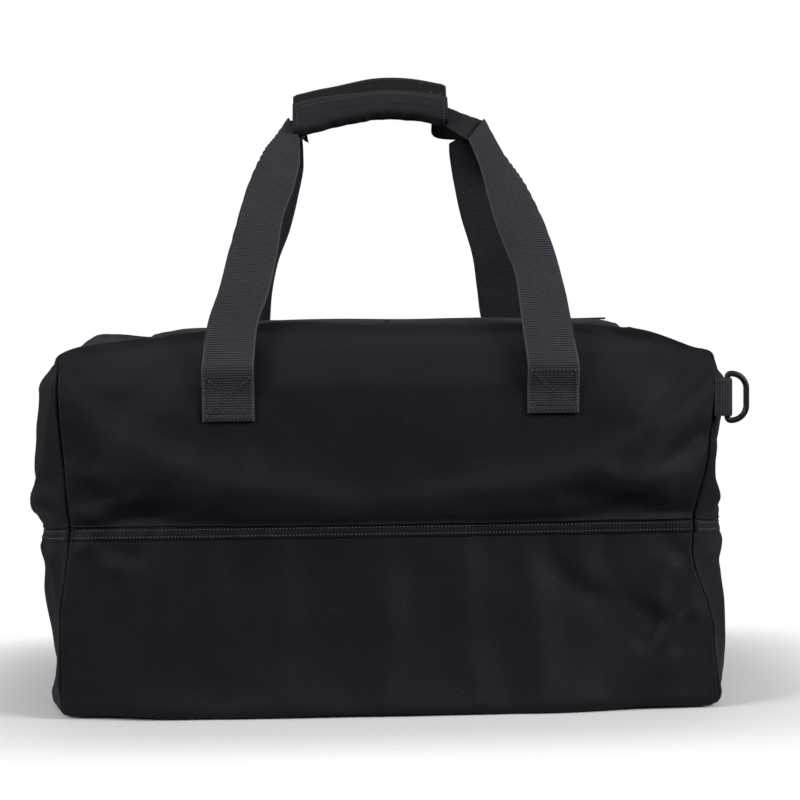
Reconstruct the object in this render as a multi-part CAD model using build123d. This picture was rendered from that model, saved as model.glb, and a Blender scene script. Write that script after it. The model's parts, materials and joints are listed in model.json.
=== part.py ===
from build123d import *
import math
import os

# A soft weekender bag with two carrying handles, in millimetres.
# X runs along the bag, the front faces -Y, Z is up and the origin is the middle of the base.

# Body: half sizes from the centre to the corner seams at the shoulder, where it is fullest
BODY_HALF_LENGTH = 243.0
BODY_HALF_DEPTH = 121.0
BELLY_Z = 72.0
WAIST_Z = 142.0
CHEST_Z = 192.0
SHOULDER_Z = 245.0
TOP_Z = 286.0
TOP_TILT = 0.82

# How far in from the shoulder the corner seams stand at the other levels
BASE_LENGTH_DRAW = -2.0
BASE_DEPTH_DRAW = 2.0
BELLY_LENGTH_DRAW = 0.0
BELLY_DEPTH_DRAW = 1.5
WAIST_LENGTH_DRAW = 11.0
WAIST_DEPTH_DRAW = 6.0
CHEST_LENGTH_DRAW = 3.0
CHEST_DEPTH_DRAW = 1.5
TOP_LENGTH_DRAW = 57.0
TOP_DEPTH_DRAW = 35.0
BASE_ROLL = 10.0
SHOULDER_TURN = 62.0
END_SQUARENESS = 1.7

# How far the middle of each panel stands out past the line between its corner seams
BASE_END_BULGE = 18.0
BELLY_END_BULGE = 27.0
WAIST_END_BULGE = 38.0
CHEST_END_BULGE = 32.0
SHOULDER_END_BULGE = 28.0
BASE_FACE_BULGE = 6.0
BELLY_FACE_BULGE = 6.0
WAIST_FACE_BULGE = 2.5
CHEST_FACE_BULGE = 4.0
SHOULDER_FACE_BULGE = 3.0

# Soft upright folds of the long lower panels, evenly spaced at the belly
BELLY_FOLDS = (0.0, 1.5, -2.0, 1.2, -1.4, 2.0, -1.2, 1.6, -2.2, 1.4, 0.0)

# Cloth and board
WALL = 3.5
DECK_WALL = 3.0
BASE_WALL = 3.0
SEAM_GAP = 0.3
MITRE_GAP = 0.3
LINING_WALL = 0.8
LINING_GAP = 2.0
LINING_TUCK = 3.0
BOARD_THICKNESS = 2.5
BOARD_MARGIN = 8.0
BOARD_CORNER = 25.0
BAND_HEIGHT = 10.0
BAND_WALL = 1.2
BAND_GAP = 0.1

# Mouth and zip
MOUTH_END_MARGIN = 61.0
FIXED_CHAIN = 30.0
CHANNEL_HALF = 7.0
TOOTH_HEIGHT = 2.6
TOOTH_PITCH = 3.2
TOOTH_WIDTH = 1.9
TOOTH_HEAD = 1.7
TOOTH_SHANK = 1.2
TOOTH_CORD = 1.8
CHAIN_GAP = 1.3
CHAIN_HALF_WIDTH = 5.4
TAPE_WALL = 0.8
TAPE_EDGE = 20.0
END_TAB_LENGTH = 12.4
END_TAB_WALL = 3.0
END_TAB_ROUND = 1.2

# Slider and pull
PARK_ALONG_CHAIN = 19.0
SLIDER_LENGTH = 14.0
SLIDER_HALF_WIDTH = 6.4
SLIDER_NOSE_HALF = 4.6
SLIDER_PLATE = 1.4
SLIDER_GAP = 0.3
SLIDER_NECK = 0.9
SLIDER_NECK_LENGTH = 4.6
SLIDER_CORNER = 1.2
NECK_SETBACK = 1.0
FLANGE_SETBACK = 1.5
FLANGE_LAP = 0.2
BRIDGE_LENGTH = 7.0
BRIDGE_WIDTH = 3.2
BRIDGE_HEIGHT = 4.0
BRIDGE_CORNER = 1.8
BRIDGE_SIDE_ROOM = 0.5
PULL_LENGTH = 34.0
PULL_WIDTH = 8.0
PULL_WALL = 1.5
PULL_BAR = 0.8
PULL_WINDOW = 6.2
PULL_HOLE_LENGTH = 5.0
PULL_HOLE_WIDTH = 3.0
PULL_HOLE_INSET = 5.0
PIN_CLEARANCE = 0.2

# Handles
WEBBING_WIDTH = 38.0
WEBBING_WALL = 2.4
ANCHOR_X = 119.0
ANCHOR_HEIGHT = 38.0
PATCH_STANDOFF = 2.8
FOLD_Z = 257.0
FOLD_CLEARANCE = 0.1
FOLD_DROP = 0.4
GRIP_Y = 16.0
GRIP_Z = 453.0
GRIP_LEFT = -72.0
GRIP_RIGHT = 46.0
FOLDED_WIDTH = 20.0
WRAP_WALL = 3.5
WRAP_HEIGHT = 25.0
WRAP_SLOT_GAP = 0.4
WRAP_SEAT = 0.1
WRAP_FOOT_FLAT = 1.0
WRAP_LIP = 0.8
CLOSER_HEIGHT = 15.0
CLOSER_WALL = 3.0
CLOSER_LIFT = 1.2
CLOSER_CORNER = 3.0
TOUCH_WALL = 0.8
TOUCH_HEIGHT = 12.0
TOUCH_MARGIN = 4.0

# The handle legs' edges between anchor and grip: (share of the rise, how far in from the anchor)
RIGHT_OUTER_BEND = ((0.2, 3.0), (0.54, 18.0), (0.84, 51.0))
RIGHT_INNER_BEND = ((0.2, 2.0), (0.52, 16.0), (0.87, 37.0))
LEFT_OUTER_BEND = ((0.2, 3.0), (0.6, 24.0), (0.88, 41.0))
LEFT_INNER_BEND = ((0.2, 4.0), (0.6, 18.0), (0.84, 23.0))

# D-rings and their tabs
RING_WIRE = 4.4
RING_INNER_HEIGHT = 30.0
RING_REACH = 14.0
RING_CORNER = 2.6
RING_BOW = 11.0
RING_Z = 232.0
RING_STANDOFF = 6.5
RING_CLEARANCE = 0.1
TAB_WALL = 1.3
TAB_GAP = 0.9

# Worked out from the sizes above
ROLL_STEPS = (0.0, 45.0, 90.0)
SHOULDER_STEPS = (SHOULDER_TURN * 0.4, SHOULDER_TURN * 0.72, SHOULDER_TURN)
FRONT_Y = -(BODY_HALF_DEPTH + PATCH_STANDOFF)
ANCHOR_Y = FRONT_Y - SEAM_GAP - WEBBING_WALL / 2
FOLD_Y = ANCHOR_Y - WEBBING_WALL - FOLD_CLEARANCE
LEAN = math.degrees(math.atan2(-GRIP_Y - FOLD_Y, GRIP_Z - FOLD_Z))
GRIP_RISE = math.hypot(-GRIP_Y - FOLD_Y, GRIP_Z - FOLD_Z)
HINGE_Y = BODY_HALF_DEPTH - TOP_DEPTH_DRAW - WALL
FLAP_HALF_LENGTH = BODY_HALF_LENGTH - TOP_LENGTH_DRAW - MOUTH_END_MARGIN
CHAIN_END = FLAP_HALF_LENGTH + FIXED_CHAIN
SLIDER_PARK = FLAP_HALF_LENGTH + PARK_ALONG_CHAIN
DECK_LOW = TOP_Z - DECK_WALL
CHAIN_Z = DECK_LOW
CHANNEL_END = CHAIN_END + END_TAB_LENGTH + 2 * SEAM_GAP
PIN_Z = TOP_Z + BRIDGE_HEIGHT / 2


def level(z, length_draw, depth_draw, end_bulge, face_bulge, tilt=0.0, folds=()):
    """Return one level of the body: height, half sizes at the seams, bulges, tilt along X and folds."""
    half_length, half_depth = BODY_HALF_LENGTH - length_draw, BODY_HALF_DEPTH - depth_draw
    return z, half_length, half_depth, end_bulge, face_bulge, math.tan(math.radians(tilt)), folds


def waist_level():
    """Return the level of the waist seam, where the upper and lower panels meet."""
    return level(WAIST_Z, WAIST_LENGTH_DRAW, WAIST_DEPTH_DRAW, WAIST_END_BULGE, WAIST_FACE_BULGE)


def roll_levels():
    """Return the levels of the rounded edge that the lower panels turn under the bag."""
    levels = []
    for turn in ROLL_STEPS:
        inset = BASE_ROLL * (1 - math.sin(math.radians(turn)))
        rise = BASE_ROLL * (1 - math.cos(math.radians(turn)))
        draws = (BASE_LENGTH_DRAW + inset, BASE_DEPTH_DRAW + inset)
        levels.append(level(rise, *draws, BASE_END_BULGE, BASE_FACE_BULGE))
    return levels


def lower_levels():
    """Return the levels of the lower walls, from the base roll up to the waist seam."""
    draws = (BELLY_LENGTH_DRAW, BELLY_DEPTH_DRAW)
    belly = level(BELLY_Z, *draws, BELLY_END_BULGE, BELLY_FACE_BULGE, folds=BELLY_FOLDS)
    return [roll_levels()[-1], belly, waist_level()]


def chest_levels():
    """Return the levels of the upper walls, from the waist seam up to the shoulder."""
    return [
        waist_level(),
        level(CHEST_Z, CHEST_LENGTH_DRAW, CHEST_DEPTH_DRAW, CHEST_END_BULGE, CHEST_FACE_BULGE),
        level(SHOULDER_Z, 0, 0, SHOULDER_END_BULGE, SHOULDER_FACE_BULGE),
    ]


def shoulder_levels():
    """Return the levels of the rounded shoulder, up to the sloping top edge."""
    levels = [chest_levels()[-1]]
    full_rise = math.sin(math.radians(SHOULDER_TURN))
    full_fall = 1 - math.cos(math.radians(SHOULDER_TURN))
    for turn in SHOULDER_STEPS:
        rise = math.sin(math.radians(turn)) / full_rise
        fall = (1 - math.cos(math.radians(turn))) / full_fall
        fade = 1 - turn / SHOULDER_TURN
        draws = (TOP_LENGTH_DRAW * fall**END_SQUARENESS, TOP_DEPTH_DRAW * fall)
        z = SHOULDER_Z + (TOP_Z - SHOULDER_Z) * rise
        bulges = (SHOULDER_END_BULGE * fade, SHOULDER_FACE_BULGE * fade)
        levels.append(level(z, *draws, *bulges, TOP_TILT * rise))
    return levels


def bowed(start, finish, bow, z, slope):
    """Return a curve between two plan points whose middle stands out by the bow vector."""
    middle = ((start[0] + finish[0]) / 2 + 2 * bow[0], (start[1] + finish[1]) / 2 + 2 * bow[1])
    return Bezier(*[(x, y, z + slope * x) for x, y in (start, middle, finish)])


def folded(start, finish, bulge, z, folds):
    """Return a long panel's curve whose bulge carries soft upright folds."""
    points = []
    for index, fold in enumerate(folds):
        share = index / (len(folds) - 1)
        x = start[0] + (finish[0] - start[0]) * share
        points.append((x, start[1] - 4 * bulge * share * (1 - share) - fold, z))
    return Spline(*points)


def face_curve(start, finish, row):
    """Return the curve of a long panel between two plan points at a level."""
    z, _, _, _, face_bulge, slope, folds = row
    if folds:
        ordered = folds if finish[0] > start[0] else folds[::-1]
        return folded(start, finish, face_bulge, z, ordered)
    return bowed(start, finish, (0, -face_bulge), z, slope)


def wall_face(row, side, outset, wall):
    """Return one panel's section at a level: outer curve, mitre, inner curve, mitre."""
    z, length, depth, end_bulge, _, slope, _ = row
    outer_x, outer_y = length + outset, depth + outset
    inner_x, inner_y = outer_x - wall, outer_y - wall
    if side == "front":
        outer_end, inner_end = outer_x - MITRE_GAP / 2, inner_x - MITRE_GAP / 2
        outer = face_curve((-outer_end, -outer_y), (outer_end, -outer_y), row)
        inner = face_curve((inner_end, -inner_y), (-inner_end, -inner_y), row)
    else:
        outer_end, inner_end = outer_y - MITRE_GAP / 2, inner_y - MITRE_GAP / 2
        bow = (end_bulge, 0)
        outer = bowed((outer_x, -outer_end), (outer_x, outer_end), bow, z, slope)
        inner = bowed((inner_x, inner_end), (inner_x, -inner_end), bow, z, slope)
    edges = [outer, Line(outer @ 1, inner @ 0), inner, Line(inner @ 1, outer @ 0)]
    return make_face(edges)


def plan_face(row, inset):
    """Return the whole plan of the body at a level, drawn in from the corner seams."""
    z, length, depth, end_bulge, face_bulge, slope, _ = row
    x, y = length - inset, depth - inset
    edges = [
        bowed((-x, -y), (x, -y), (0, -face_bulge), z, slope),
        bowed((x, -y), (x, y), (end_bulge, 0), z, slope),
        bowed((x, y), (-x, y), (0, face_bulge), z, slope),
        bowed((-x, y), (-x, -y), (-end_bulge, 0), z, slope),
    ]
    return make_face(edges)


def wall_panel(levels, side, outset=0.0, wall=WALL):
    """Loft one wall panel through its levels."""
    return loft([wall_face(row, side, outset, wall) for row in levels])


def lower_panel(side):
    """Return one lower panel with the rounded edge that it turns under the bag."""
    return wall_panel(lower_levels(), side) + wall_panel(roll_levels(), side)


def upper_panel(side):
    """Return one upper panel, from the waist seam over the shoulder."""
    return wall_panel(chest_levels(), side) + wall_panel(shoulder_levels(), side)


def body_walls():
    """Return the eight wall panels: lower and upper, front, back and the two ends."""
    nodes = {}
    for band, panel in (("lower", lower_panel), ("upper", upper_panel)):
        front = panel("front")
        right = panel("end")
        nodes[f"front_{band}_panel"] = front
        nodes[f"back_{band}_panel"] = mirror(front, about=Plane.XZ)
        nodes[f"right_{band}_end"] = right
        nodes[f"left_{band}_end"] = mirror(right, about=Plane.YZ)
    return nodes


def waist_bands():
    """Return the four stitched bands that lap the lower panels just under the waist seam."""
    outset = BAND_WALL + BAND_GAP
    slab = Pos(0, 0, WAIST_Z - BAND_HEIGHT / 2) * Box(3 * BODY_HALF_LENGTH, 3 * BODY_HALF_DEPTH, BAND_HEIGHT)
    front = wall_panel(lower_levels(), "front", outset, BAND_WALL) & slab
    right = wall_panel(lower_levels(), "end", outset, BAND_WALL) & slab
    return {
        "front_waist_band": front,
        "back_waist_band": mirror(front, about=Plane.XZ),
        "right_waist_band": right,
        "left_waist_band": mirror(right, about=Plane.YZ),
    }


def base_pieces():
    """Return the bottom panel and the stiffening board that lies on it."""
    bottom = extrude(plan_face(roll_levels()[0], WALL + SEAM_GAP), BASE_WALL, dir=(0, 0, 1))
    _, half_length, half_depth = roll_levels()[0][:3]
    margin = WALL + BOARD_MARGIN
    board = RectangleRounded(2 * (half_length - margin), 2 * (half_depth - margin), BOARD_CORNER)
    board = extrude(board, BOARD_THICKNESS)
    return {"bottom_panel": bottom, "base_board": Pos(0, 0, BASE_WALL) * board}


def lining():
    """Return the loose lining tub, open at the top, that hangs just inside the walls."""
    floor_z = BASE_WALL + BOARD_THICKNESS + SEAM_GAP
    base, belly, waist = lower_levels()
    foot = (floor_z, base[1] - LINING_TUCK, base[2] - LINING_TUCK, *base[3:])
    levels = [foot, base, belly, waist] + chest_levels()[1:] + shoulder_levels()[1:2]
    inset = WALL + LINING_GAP
    tub = loft([plan_face(row, inset) for row in levels], ruled=True)
    raised = (floor_z + LINING_WALL, *foot[1:])
    hollow = loft([plan_face(row, inset + LINING_WALL) for row in [raised] + levels[1:]], ruled=True)
    return {"lining": tub - hollow}


def tilted(nodes):
    """Turn the pieces of the top about its middle, so that they lie in the sloping top."""
    turn = Pos(0, 0, TOP_Z) * Rot(0, -TOP_TILT, 0) * Pos(0, 0, -TOP_Z)
    turned = {}
    for name, shape in nodes.items():
        solids = [turn * solid for solid in shape.solids()]
        turned[name] = solids[0] if len(solids) == 1 else Compound(children=solids)
    return turned


def top_ends():
    """Return the fixed ends of the top deck, each with the slot that the zip's end lies in."""
    inner = BODY_HALF_LENGTH - TOP_LENGTH_DRAW - WALL - SEAM_GAP
    start = FLAP_HALF_LENGTH + SEAM_GAP
    plate = Pos((start + inner) / 2, 0) * Rectangle(inner - start, 2 * (HINGE_Y - SEAM_GAP))
    slot = Pos((start + CHANNEL_END) / 2, 0) * Rectangle(CHANNEL_END - start, 2 * CHANNEL_HALF)
    right = Pos(0, 0, DECK_LOW) * extrude(plate - slot, DECK_WALL)
    return {"right_top_end": right, "left_top_end": mirror(right, about=Plane.YZ)}


def tooth_row(start, finish, offset):
    """Return one row of the zip chain as a comb: the sewn cord with its moulded teeth."""
    count = int((finish - start - TOOTH_WIDTH) // TOOTH_PITCH)
    first = (start + finish) / 2 - (count - 1) * TOOTH_PITCH / 2 + offset
    cord_y = CHAIN_HALF_WIDTH - TOOTH_CORD / 2
    comb = Pos((start + finish) / 2, cord_y) * Rectangle(finish - start, TOOTH_CORD)
    shank_length = CHAIN_HALF_WIDTH - TOOTH_CORD - CHAIN_GAP / 2
    shank_y = CHAIN_GAP / 2 + (shank_length + TOOTH_CORD) / 2
    shank = Pos(0, shank_y) * Rectangle(TOOTH_SHANK, shank_length + TOOTH_CORD)
    tooth = shank + Pos(0, CHAIN_GAP / 2 + TOOTH_HEAD / 2) * Rectangle(TOOTH_WIDTH, TOOTH_HEAD)
    comb += [Pos(first + index * TOOTH_PITCH, 0) * tooth for index in range(count)]
    row = extrude(comb, TOOTH_HEIGHT)
    return Pos(0, 0, CHAIN_Z - TOOTH_HEIGHT / 2) * row


def tape(start, finish):
    """Return the back half's zip tape between two places along the bag."""
    width = TAPE_EDGE - CHAIN_HALF_WIDTH
    strip = Box(finish - start, width, TAPE_WALL)
    y = CHAIN_HALF_WIDTH + width / 2
    return Pos((start + finish) / 2, y, CHAIN_Z - TAPE_WALL / 2) * strip


def zip_halves():
    """Return the moving tapes and tooth rows and the fixed ones at both ends."""
    back_tape = tape(-FLAP_HALF_LENGTH, FLAP_HALF_LENGTH)
    back_teeth = tooth_row(-FLAP_HALF_LENGTH, FLAP_HALF_LENGTH, 0.0)
    front_teeth = tooth_row(-FLAP_HALF_LENGTH, FLAP_HALF_LENGTH, TOOTH_PITCH / 2)
    start = FLAP_HALF_LENGTH + SEAM_GAP
    end_tape = tape(start, CHAIN_END)
    end_back = tooth_row(start, CHAIN_END, 0.0)
    end_front = mirror(tooth_row(start, CHAIN_END, TOOTH_PITCH / 2), about=Plane.XZ)
    right_tapes = Compound(children=[end_tape, mirror(end_tape, about=Plane.XZ)])
    right_teeth = Compound(children=[end_back, end_front])
    return {
        "back_zip_tape": back_tape,
        "front_zip_tape": mirror(back_tape, about=Plane.XZ),
        "back_zip_teeth": back_teeth,
        "front_zip_teeth": mirror(front_teeth, about=Plane.XZ),
        "right_zip_tapes": right_tapes,
        "right_zip_teeth": right_teeth,
        "left_zip_tapes": mirror(right_tapes, about=Plane.YZ),
        "left_zip_teeth": mirror(right_teeth, about=Plane.YZ),
    }


def zip_end_tabs():
    """Return the folded fabric tabs that close both ends of the zip."""
    width = 2 * (CHANNEL_HALF - SEAM_GAP)
    block = Box(END_TAB_LENGTH, width, END_TAB_WALL)
    x = CHAIN_END + SEAM_GAP + END_TAB_LENGTH / 2
    right = Pos(x, 0, CHAIN_Z) * fillet(block.edges().filter_by(Axis.Y), END_TAB_ROUND)
    return {"right_zip_stop": right, "left_zip_stop": mirror(right, about=Plane.YZ)}


def mouth_flaps():
    """Return the two halves of the top that open away from the zip."""
    width = HINGE_Y - SEAM_GAP - CHANNEL_HALF
    panel = Box(2 * FLAP_HALF_LENGTH, width, DECK_WALL)
    back = Pos(0, CHANNEL_HALF + width / 2, TOP_Z - DECK_WALL / 2) * panel
    return {"back_mouth_flap": back, "front_mouth_flap": mirror(back, about=Plane.XZ)}


def slider():
    """Return the zip slider: two plates on a neck, edge flanges, and the bridge for the pull."""
    tail, nose, half = -SLIDER_LENGTH / 2, SLIDER_LENGTH / 2, SLIDER_HALF_WIDTH
    outline = Polyline(
        (tail, -SLIDER_NOSE_HALF),
        (0, -half),
        (nose, -half),
        (nose, half),
        (0, half),
        (tail, SLIDER_NOSE_HALF),
        close=True,
    )
    plate = extrude(make_face(outline), SLIDER_PLATE)
    plate = fillet(plate.edges().filter_by(Axis.Z), SLIDER_CORNER)
    upper_low = CHAIN_Z + TOOTH_HEIGHT / 2 + SLIDER_GAP
    lower_low = CHAIN_Z - TOOTH_HEIGHT / 2 - SLIDER_GAP - SLIDER_PLATE
    body = Pos(0, 0, upper_low) * plate + Pos(0, 0, lower_low) * plate
    neck_x = tail + SLIDER_NECK_LENGTH / 2 + NECK_SETBACK
    neck_height = upper_low + SLIDER_PLATE - lower_low
    neck = Box(SLIDER_NECK_LENGTH, SLIDER_NECK, neck_height)
    body += Pos(neck_x, 0, lower_low + neck_height / 2) * neck
    body += slider_flanges(upper_low, lower_low + SLIDER_PLATE)
    body += slider_bridge(upper_low + SLIDER_PLATE)
    return {"zip_slider": Pos(SLIDER_PARK, 0, 0) * body}


def slider_flanges(upper_low, lower_high):
    """Return the four lips that guide the tape between the slider's plates."""
    wall = SLIDER_HALF_WIDTH - CHAIN_HALF_WIDTH - SLIDER_GAP
    length = SLIDER_LENGTH / 2 - FLANGE_SETBACK
    y = SLIDER_HALF_WIDTH - wall / 2
    upper_foot = CHAIN_Z + SLIDER_GAP
    lower_top = CHAIN_Z - TAPE_WALL - SLIDER_GAP
    upper = Box(length, wall, upper_low - upper_foot + FLANGE_LAP)
    lower = Box(length, wall, lower_top - lower_high + FLANGE_LAP)
    upper_z = (upper_foot + upper_low + FLANGE_LAP) / 2
    lower_z = (lower_top + lower_high - FLANGE_LAP) / 2
    lips = []
    for side in (-1, 1):
        lips.append(Pos(length / 2, side * y, upper_z) * upper)
        lips.append(Pos(length / 2, side * y, lower_z) * lower)
    return lips


def slider_bridge(plate_top):
    """Return the arch on the slider with the round eye that the pull turns in."""
    height = TOP_Z + BRIDGE_HEIGHT - plate_top
    block = Box(BRIDGE_LENGTH, BRIDGE_WIDTH, height)
    block = fillet(block.edges().filter_by(Axis.Y).group_by(Axis.Z)[-1], BRIDGE_CORNER)
    eye = Rot(90, 0, 0) * Cylinder(pin_radius() + PIN_CLEARANCE, 2 * BRIDGE_WIDTH)
    return Pos(0, 0, plate_top + height / 2) * block - Pos(0, 0, PIN_Z) * eye


def pin_radius():
    """Return the radius that the pull's crossbar sweeps in the eye."""
    return math.hypot(PULL_BAR, PULL_WALL / 2)


def pull():
    """Return the pull: a rounded tab whose crossbar runs through the slider's eye."""
    centre = PULL_LENGTH / 2 - PULL_BAR
    tab = Pos(centre, 0) * RectangleRounded(PULL_LENGTH, PULL_WIDTH, PULL_BAR)
    window_width = BRIDGE_WIDTH + 2 * BRIDGE_SIDE_ROOM
    window = Pos(PULL_BAR + PULL_WINDOW / 2, 0) * Rectangle(PULL_WINDOW, window_width)
    hole = Pos(PULL_LENGTH - PULL_BAR - PULL_HOLE_INSET, 0) * SlotOverall(PULL_HOLE_LENGTH, PULL_HOLE_WIDTH)
    plate = extrude(tab - window - hole, PULL_WALL)
    return {"zip_pull": Pos(SLIDER_PARK, 0, PIN_Z - PULL_WALL / 2) * plate}


def leg_edge(start, bend, finish):
    """Return one edge of a leg, from the anchor up through its bend to the grip."""
    side = math.copysign(1, start)
    points = [(start - side * inward, GRIP_RISE * share) for share, inward in bend]
    return Spline((start, 0), *points, finish)


def leg_face(side, outer_bend, inner_bend, grip_end):
    """Return a handle leg in the handle's own plane, narrowing to where it is folded."""
    outside = side * (ANCHOR_X + WEBBING_WIDTH / 2)
    inside = side * (ANCHOR_X - WEBBING_WIDTH / 2)
    outer = leg_edge(outside, outer_bend, (grip_end, GRIP_RISE + FOLDED_WIDTH / 2))
    inner = leg_edge(inside, inner_bend, (grip_end, GRIP_RISE - FOLDED_WIDTH / 2))
    return make_face([outer, inner, Line(outer @ 0, inner @ 0), Line(outer @ 1, inner @ 1)])


def handle_legs():
    """Return both legs as faces in the handle's own plane."""
    right = leg_face(1, RIGHT_OUTER_BEND, RIGHT_INNER_BEND, GRIP_RIGHT)
    return right + leg_face(-1, LEFT_OUTER_BEND, LEFT_INNER_BEND, GRIP_LEFT)


def handle_webbing():
    """Return one handle's webbing, flat in its own plane, with a round edge on its fold line."""
    legs = extrude(handle_legs(), WEBBING_WALL / 2, both=True)
    grip_middle = (GRIP_LEFT + GRIP_RIGHT) / 2
    grip = Pos(grip_middle, GRIP_RISE, 0) * Box(GRIP_RIGHT - GRIP_LEFT, FOLDED_WIDTH, 2 * WEBBING_WALL)
    webbing = legs + grip
    for side in (-1, 1):
        roll = Rot(0, 90, 0) * Cylinder(WEBBING_WALL / 2, WEBBING_WIDTH)
        webbing += Pos(side * ANCHOR_X, 0, 0) * roll
    return webbing


def grip_wrap():
    """Return the padded hand wrap, a trough that holds the folded webbing and opens upwards."""
    slot_half = WEBBING_WALL + WRAP_SLOT_GAP
    half = wrap_half()
    foot = wrap_top() - WRAP_HEIGHT
    floor = foot + WRAP_WALL
    outline = Pos(foot + WRAP_HEIGHT / 2, 0) * Rectangle(WRAP_HEIGHT, 2 * half)
    outline = fillet(outline.vertices().group_by(Axis.X)[0], half - WRAP_FOOT_FLAT / 2)
    outline = fillet(outline.vertices().group_by(Axis.X)[-1], WRAP_LIP)
    trough = outline - Pos(floor + WRAP_HEIGHT, 0) * Rectangle(2 * WRAP_HEIGHT, 2 * slot_half)
    section = Plane(origin=(GRIP_LEFT, 0, 0), x_dir=(0, 1, 0), z_dir=(1, 0, 0)) * trough
    return extrude(section, GRIP_RIGHT - GRIP_LEFT, dir=(1, 0, 0))


def wrap_half():
    """Return the wrap's half thickness across the handle's plane."""
    return WEBBING_WALL + WRAP_SLOT_GAP + WRAP_WALL


def wrap_top():
    """Return how far up the handle's plane the wrap's lips reach."""
    return GRIP_RISE - FOLDED_WIDTH / 2 - WRAP_SEAT - WRAP_WALL + WRAP_HEIGHT


def grip_closer():
    """Return the flap that stands up behind the wrap, and the hook strip on its face."""
    fold = wrap_top() + CLOSER_LIFT
    length = GRIP_RIGHT - GRIP_LEFT
    middle = (GRIP_LEFT + GRIP_RIGHT) / 2
    face = CLOSER_WALL - wrap_half()
    height = CLOSER_HEIGHT + TOUCH_WALL
    flap = Box(length, height, CLOSER_WALL)
    flap = fillet(flap.edges().filter_by(Axis.Z), CLOSER_CORNER)
    flap = Pos(middle, fold - TOUCH_WALL + height / 2, face - CLOSER_WALL / 2) * flap
    strip = Box(length - 2 * TOUCH_MARGIN, TOUCH_HEIGHT, TOUCH_WALL)
    strip = Pos(middle, fold + CLOSER_HEIGHT / 2, face + TOUCH_WALL / 2) * strip
    return flap, strip


def loop_strip():
    """Return the loop strip on the front of the wrap."""
    length = GRIP_RIGHT - GRIP_LEFT - 2 * TOUCH_MARGIN
    middle = (GRIP_LEFT + GRIP_RIGHT) / 2
    strip = Box(length, TOUCH_HEIGHT, TOUCH_WALL)
    return Pos(middle, GRIP_RISE, wrap_half() + TOUCH_WALL / 2) * strip


def handles():
    """Return the front handle with its grip and the plain back handle, leaning together."""
    lean = math.radians(LEAN)
    plane = Plane(origin=(0, FOLD_Y, FOLD_Z), x_dir=(1, 0, 0), z_dir=(0, -math.cos(lean), math.sin(lean)))
    webbing = plane.location * handle_webbing()
    flap, strip = grip_closer()
    return {
        "front_handle": webbing,
        "back_handle": mirror(webbing, about=Plane.XZ),
        "grip_wrap": plane.location * grip_wrap(),
        "grip_loop_strip": plane.location * loop_strip(),
        "grip_flap": plane.location * flap,
        "grip_hook_strip": plane.location * strip,
    }


def anchors():
    """Return the four sewn ends of the handles, flat on the front and back panels."""
    nodes = {}
    top = FOLD_Z - FOLD_DROP
    patch = Box(WEBBING_WIDTH, WEBBING_WALL, ANCHOR_HEIGHT)
    for face, side in (("front", 1), ("back", -1)):
        for end, direction in (("left", -1), ("right", 1)):
            place = Pos(direction * ANCHOR_X, side * ANCHOR_Y, top - ANCHOR_HEIGHT / 2)
            nodes[f"{face}_{end}_anchor"] = place * patch
    return nodes


def ring_tab():
    """Return the webbing tab that leaves the front right corner seam and wraps the ring's bar."""
    bar_x = BODY_HALF_LENGTH + RING_STANDOFF
    bore = RING_WIRE / 2 + RING_CLEARANCE
    start = BODY_HALF_LENGTH + TAB_GAP
    eye = Pos(bar_x, 0) * Circle(bore + TAB_WALL)
    web = Pos((start + bar_x) / 2, 0) * Rectangle(bar_x - start, 2 * TAB_WALL)
    profile = eye + web - Pos(bar_x, 0) * Circle(bore)
    height = RING_INNER_HEIGHT + RING_WIRE - 2 * (RING_CORNER + RING_CLEARANCE)
    return Pos(0, -BODY_HALF_DEPTH, RING_Z - height / 2) * extrude(profile, height)


def ring():
    """Return the D-ring: round wire with a straight bar in the tab and a bowed side."""
    half = (RING_INNER_HEIGHT + RING_WIRE) / 2
    path = FilletPolyline(
        (0, -half),
        (0, half),
        (RING_REACH, half),
        (RING_REACH, -half),
        close=True,
        radius=[RING_CORNER, RING_CORNER, RING_BOW, RING_BOW],
    )
    route = Plane.XZ * path
    start = Plane(origin=(0, 0, 0), z_dir=(0, 0, 1))
    wire = sweep(start * Circle(RING_WIRE / 2), path=route)
    return Pos(BODY_HALF_LENGTH + RING_STANDOFF, -BODY_HALF_DEPTH, RING_Z) * wire


def rings():
    """Return both D-rings and tabs, on the front right and the back left corner seams."""
    tab = ring_tab()
    wire = ring()
    return {
        "front_ring_tab": tab,
        "back_ring_tab": Rot(0, 0, 180) * tab,
        "front_ring": wire,
        "back_ring": Rot(0, 0, 180) * wire,
    }


def build():
    """Build every piece and write one STEP file for each."""
    os.makedirs("parts", exist_ok=True)
    nodes = {}
    for group in (
        body_walls(),
        waist_bands(),
        base_pieces(),
        lining(),
        tilted(top_ends()),
        tilted(mouth_flaps()),
        tilted(zip_halves()),
        tilted(zip_end_tabs()),
        tilted(slider()),
        tilted(pull()),
        handles(),
        anchors(),
        rings(),
    ):
        nodes.update(group)
    for name, shape in nodes.items():
        export_step(shape, os.path.join("parts", f"{name}.step"))
    print(len(nodes), "nodes written")


build()
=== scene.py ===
import json
import logging
import math
from dataclasses import dataclass
from enum import Enum
from typing import Callable, Iterable, Sequence

import bpy
from mathutils import Matrix, Vector, noise


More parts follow.
